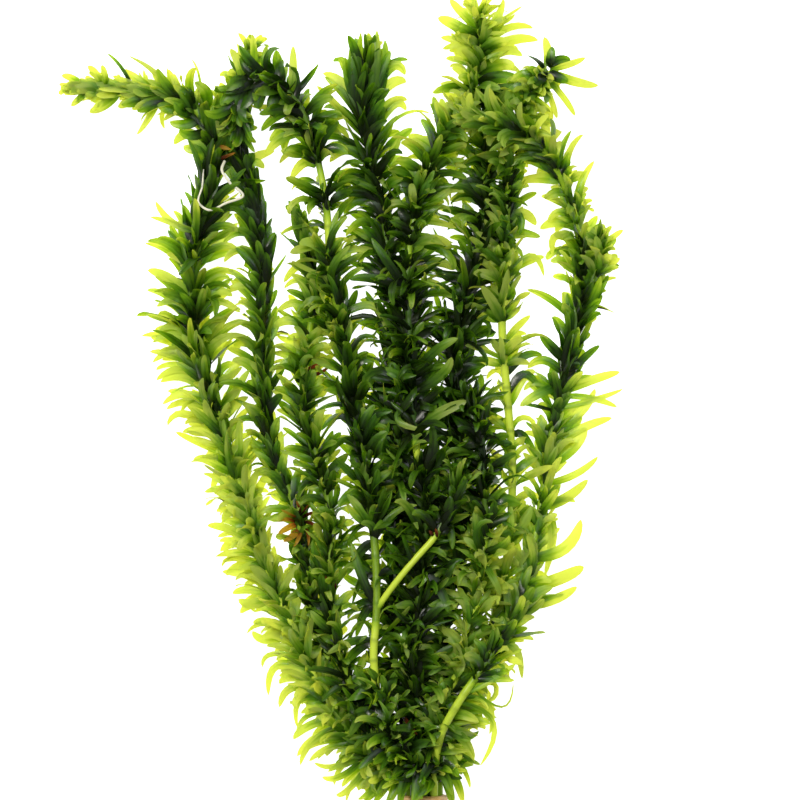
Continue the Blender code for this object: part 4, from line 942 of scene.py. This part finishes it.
def grown_leaves(shoot, random):
    """The points and tones of the leaves in whorls, by the shoot's habit and by chance."""
    roots, forwards, outwards, distances, angles = leaf_feet(shoot, random)
    count = len(roots)
    right = (outwards * unit(np.cross(forwards, (0, 0, 1)))).sum(-1)
    over = np.clip(outwards[:, 2] * UPRIGHT_GAIN - UPRIGHT_FROM, 0, 1)
    over = over * random.uniform(0.0, MOST_OVER, count)
    # painted backlight and shade: leaves at the stem's side get a lighter tone, leaves on top a darker one
    light = SIDE_TONE - TOP_TONE * np.clip(outwards[:, 2], 0, 1)
    outwards[:, 2] *= FLATTER
    outwards = unit(outwards - forwards * (outwards * forwards).sum(-1, keepdims=True))
    first, last, length, tone, tangle, pressed = shoot.habit_at(distances)
    pressed = np.clip(right * pressed * PRESSED_GAIN, 0, 1)
    swing, bend, roll = wet_clumps(shoot, distances, angles, random)
    young = np.clip(1 - (shoot.route.length - distances) / YOUNG_LENGTH, 0, 1)
    stretch = np.clip(random.normal(*LENGTH_SPREAD, count), *LENGTH_LIMITS)
    length = length * MM * stretch * (1 - YOUNG_SHORTER * young)
    width = LEAF_WIDTH * random.normal(1, WIDTH_SPREAD, count) * (1 - YOUNG_NARROWER * young)
    both = [
        angle + (drift(shoot, distances, random) * along + bend * bundled) * tangle
        for angle, along, bundled in zip((first, last), ANGLE_DRIFT, ANGLE_IN_BUNDLE)]
    both = [
        np.radians((angle + random.normal(0, strayed(alone, tangle))) * (1 - flat * pressed))
        for angle, alone, flat in zip(both, ANGLE_ALONE, PRESSED_FLAT)]
    first, last = [angle * (1 - flat * over) for angle, flat in zip(both, OVER_FLAT)]
    hooked = random.uniform(0, 1, count) < HOOKED_SHARE
    last = last + hooked * np.radians(random.uniform(*HOOK, count)) * (1 - pressed)
    swing = swing * strayed(BUNDLE_SWING, tangle)
    points = grow_blades(
        roots, forwards, outwards, length, width, first, last, swing, roll, tangle, random)
    tone = tone + light + DRIFT_TONE * drift(shoot, distances, random) + BUNDLE_TONE * roll
    tone = tone + random.normal(0, TONE_SPREAD, count) + YOUNG_TONE * young - PRESSED_TONE * pressed
    return points, np.clip(tone, 0, 1)


def leaf_piece(shoot, material):
    """All the leaves of one shoot as one piece, which stands for the shoot's solid."""
    random = np.random.default_rng(shoot.seed * LEAF_SEED)
    points, tone = grown_leaves(shoot, random)
    if shoot.node == "shoot_right_centre":
        clear = ~covers_fork(points)
        points, tone = points[clear], tone[clear]
    withered = np.zeros(len(points))
    for rows, dead in ((LAID.get(shoot.node), 0.0), (WITHERED.get(shoot.node), 1.0)):
        if rows:
            points = np.concatenate([points, lay_blades(shoot, rows, random)])
            tone = np.append(tone, [row[7] for row in rows])
            withered = np.append(withered, [dead] * len(rows))
    which = random.uniform(0, 1, len(points))
    values = {
        "tone": tone[:, None, None], "withered": withered[:, None, None], "which": which[:, None, None],
        "along": np.array(STATIONS)[None, :, None], "across": np.array(SECTION)[None, None, :, 0]}
    values = {label: np.broadcast_to(numbers, points.shape[:3]) for label, numbers in values.items()}
    faces = blade_faces(len(points))
    piece = add_piece(shoot.node + "_leaves", points, faces, material, values)
    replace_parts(piece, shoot.node)


leaf_green = living_leaf()
for shoot in SHOOTS:
    leaf_piece(shoot, leaf_green)


# The water root
# One thin white root grew out of a node of the far left shoot, and lies over its leaves in a loose loop. It
# is soft and unbranched, gets thinner towards its end, and has no bark.

ROOT_RADIUS = 0.42 * MM
ROOT_SIDES = 10
ROOT_STEP = 0.5 * MM              # between its rings of points
ROOT_TAPER = 0.5                  # the share of its thickness that is gone at its end
ROOT_SWELL = 0.08                 # the share by which its thickness wavers
ROOT_SWELL_LENGTH = 1.3 * MM      # for each radian of that
ROOT_ROUTE = Route(free(
    (225, 162, 9.0), (223, 172, 11.8), (230, 183, 12.4), (244, 197, 12.2), (228, 204, 12.6),
    (209, 211, 12.6), (200, 204, 12.0), (203, 188, 10.8), (204, 170, 8.4)), step=ROOT_STEP)


def white_root():
    """Pale root tissue without green in it, moist and a little translucent, so it looks a soft ivory."""
    made = new_material("living water root")
    # 900 flecks over the root's own box are too fine to tell apart, and only soften its white
    grain = add_node(made, "TexNoise", Scale=900.0, Detail=3.0)
    colour = add_node(made, "ValToRGB", steps=[(0.3, "#efe8c8"), (0.7, "#fffdf0")], Fac=grain.outputs["Fac"])
    skin = add_node(made, "BsdfPrincipled", Base_Color=colour.outputs[0], Roughness=0.4, IOR=1.4)
    glow = add_node(made, "BsdfTranslucent", Color=colour.outputs[0])
    both = add_node(made, "MixShader", Fac=0.3, _1=skin.outputs[0], _2=glow.outputs[0])
    add_node(made, "OutputMaterial", Surface=both.outputs[0])
    return made


def root_piece(material):
    """The root as a tube that gets thinner, with a slightly uneven thickness."""
    distances = ROOT_ROUTE.reach
    shares = distances / ROOT_ROUTE.length
    uneven = 1 + ROOT_SWELL * np.sin(distances / ROOT_SWELL_LENGTH)
    radii = ROOT_RADIUS * (1 - ROOT_TAPER * shares ** 2) * uneven
    points = tube_points(ROOT_ROUTE, distances, radii, ROOT_SIDES)
    return add_piece("water_root", points, grid_faces(len(distances), ROOT_SIDES), material)


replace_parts(root_piece(white_root()), "root_thread")


# The rubber band
# A band of natural rubber, cut from an extruded tube, holds the cut ends together. It goes three times round
# them, and its strands lie side by side, pulled tight. The solid's shape is right, so it stays, and gets the
# rubber's look.


def natural_rubber():
    """Unfilled rubber as it comes from the die: tan, cloudy, with a dull sheen and a fine pimpled skin."""
    made = new_material("natural rubber, extruded")
    place = add_node(made, "TexCoord").outputs["Object"]
    # cloudiness of about 1.4 mm, drawn coarser than the real grain, to show
    grain = add_node(made, "TexNoise", Vector=place, Scale=0.7 / MM, Detail=4.0)
    colour = add_node(made, "ValToRGB", steps=[(0.3, "#b98a4a"), (0.7, "#d9b06c")], Fac=grain.outputs["Fac"])
    bump = add_node(made, "Bump", Strength=0.2, Distance=0.05 * MM, Height=grain.outputs["Fac"])
    skin = add_node(
        made, "BsdfPrincipled", Base_Color=colour.outputs[0], Roughness=0.5, IOR=1.52, Normal=bump.outputs[0])
    add_node(made, "OutputMaterial", Surface=skin.outputs[0])
    return made


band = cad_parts["rubber_band"]
band.data.materials.clear()
band.data.materials.append(natural_rubber())


# The studio
# A pale floor that glows softly, as a light table does, under two big soft lights, with the camera straight
# above. The floor's light comes up through the leaves, as the photograph shows it.

SEEN_CENTRE = spot(400, 400, 6)   # the photograph's middle pixel, at the bunch's usual height
SEEN_WIDTH = 240 * MM             # that the photograph's 800 pixels show
CAMERA_HEIGHT = 1.0               # metres
SENSOR_WIDTH = 36.0               # millimetres
FLOOR_REACH = 3.0                 # metres, far enough to have no edge in any view
LIT_PLACE = (0.02, 0.0, 0.0)      # where the lights are turned to
ROOM_COLOUR = (0.96, 0.97, 1.0, 1.0)   # linear: the faintly blue white of a studio's walls
ROOM_LIGHT = 0.3


def pale_floor():
    """Opal board lit softly from below, which also sends light up through the leaves."""
    made = new_material("opal white board")
    skin = add_node(
        made, "BsdfPrincipled", Base_Color=linear("#f4f3f6"), Roughness=0.8, Emission_Color=linear("#fbf9ff"),
        Emission_Strength=1.12)
    add_node(made, "OutputMaterial", Surface=skin.outputs[0])
    return made


floor_corners = [
    (-FLOOR_REACH, -FLOOR_REACH, 0), (FLOOR_REACH, -FLOOR_REACH, 0), (FLOOR_REACH, FLOOR_REACH, 0),
    (-FLOOR_REACH, FLOOR_REACH, 0)]
floor_mesh = bpy.data.meshes.new("floor")
floor_mesh.from_pydata(floor_corners, [], [(0, 1, 2, 3)])
floor_mesh.materials.append(pale_floor())
floor = bpy.data.objects.new("floor", floor_mesh)
bpy.context.scene.collection.objects.link(floor)


def soft_light(name, place, size, power, colour):
    """A square softbox at a place in metres, with its size in metres and its power in watts."""
    lamp = bpy.data.lights.new(name, "AREA")
    lamp.color = linear(colour)[:3]
    lamp.shape = "SQUARE"
    lamp.size = size
    lamp.energy = power
    made = bpy.data.objects.new(name, lamp)
    made.location = place
    made.rotation_euler = (Vector(LIT_PLACE) - Vector(place)).to_track_quat("-Z", "Y").to_euler()
    bpy.context.scene.collection.objects.link(made)


soft_light("key", (-0.55, 0.45, 1.1), size=0.4, power=12.0, colour="#fffaf0")
soft_light("window", (0.15, 0.6, 1.25), size=0.9, power=9.0, colour="#eef6ff")

world = bpy.data.worlds.new("studio")
world.use_nodes = True
world.node_tree.nodes["Background"].inputs["Color"].default_value = ROOM_COLOUR
world.node_tree.nodes["Background"].inputs["Strength"].default_value = ROOM_LIGHT
bpy.context.scene.world = world
bpy.context.scene.view_settings.view_transform = "Standard"

lens = bpy.data.cameras.new("camera")
lens.sensor_width = SENSOR_WIDTH
lens.lens = SENSOR_WIDTH * CAMERA_HEIGHT / SEEN_WIDTH
lens.clip_start = 0.01
camera = bpy.data.objects.new("camera", lens)
camera.location = (SEEN_CENTRE[0], SEEN_CENTRE[1], SEEN_CENTRE[2] + CAMERA_HEIGHT)
bpy.context.scene.collection.objects.link(camera)
bpy.context.scene.camera = camera
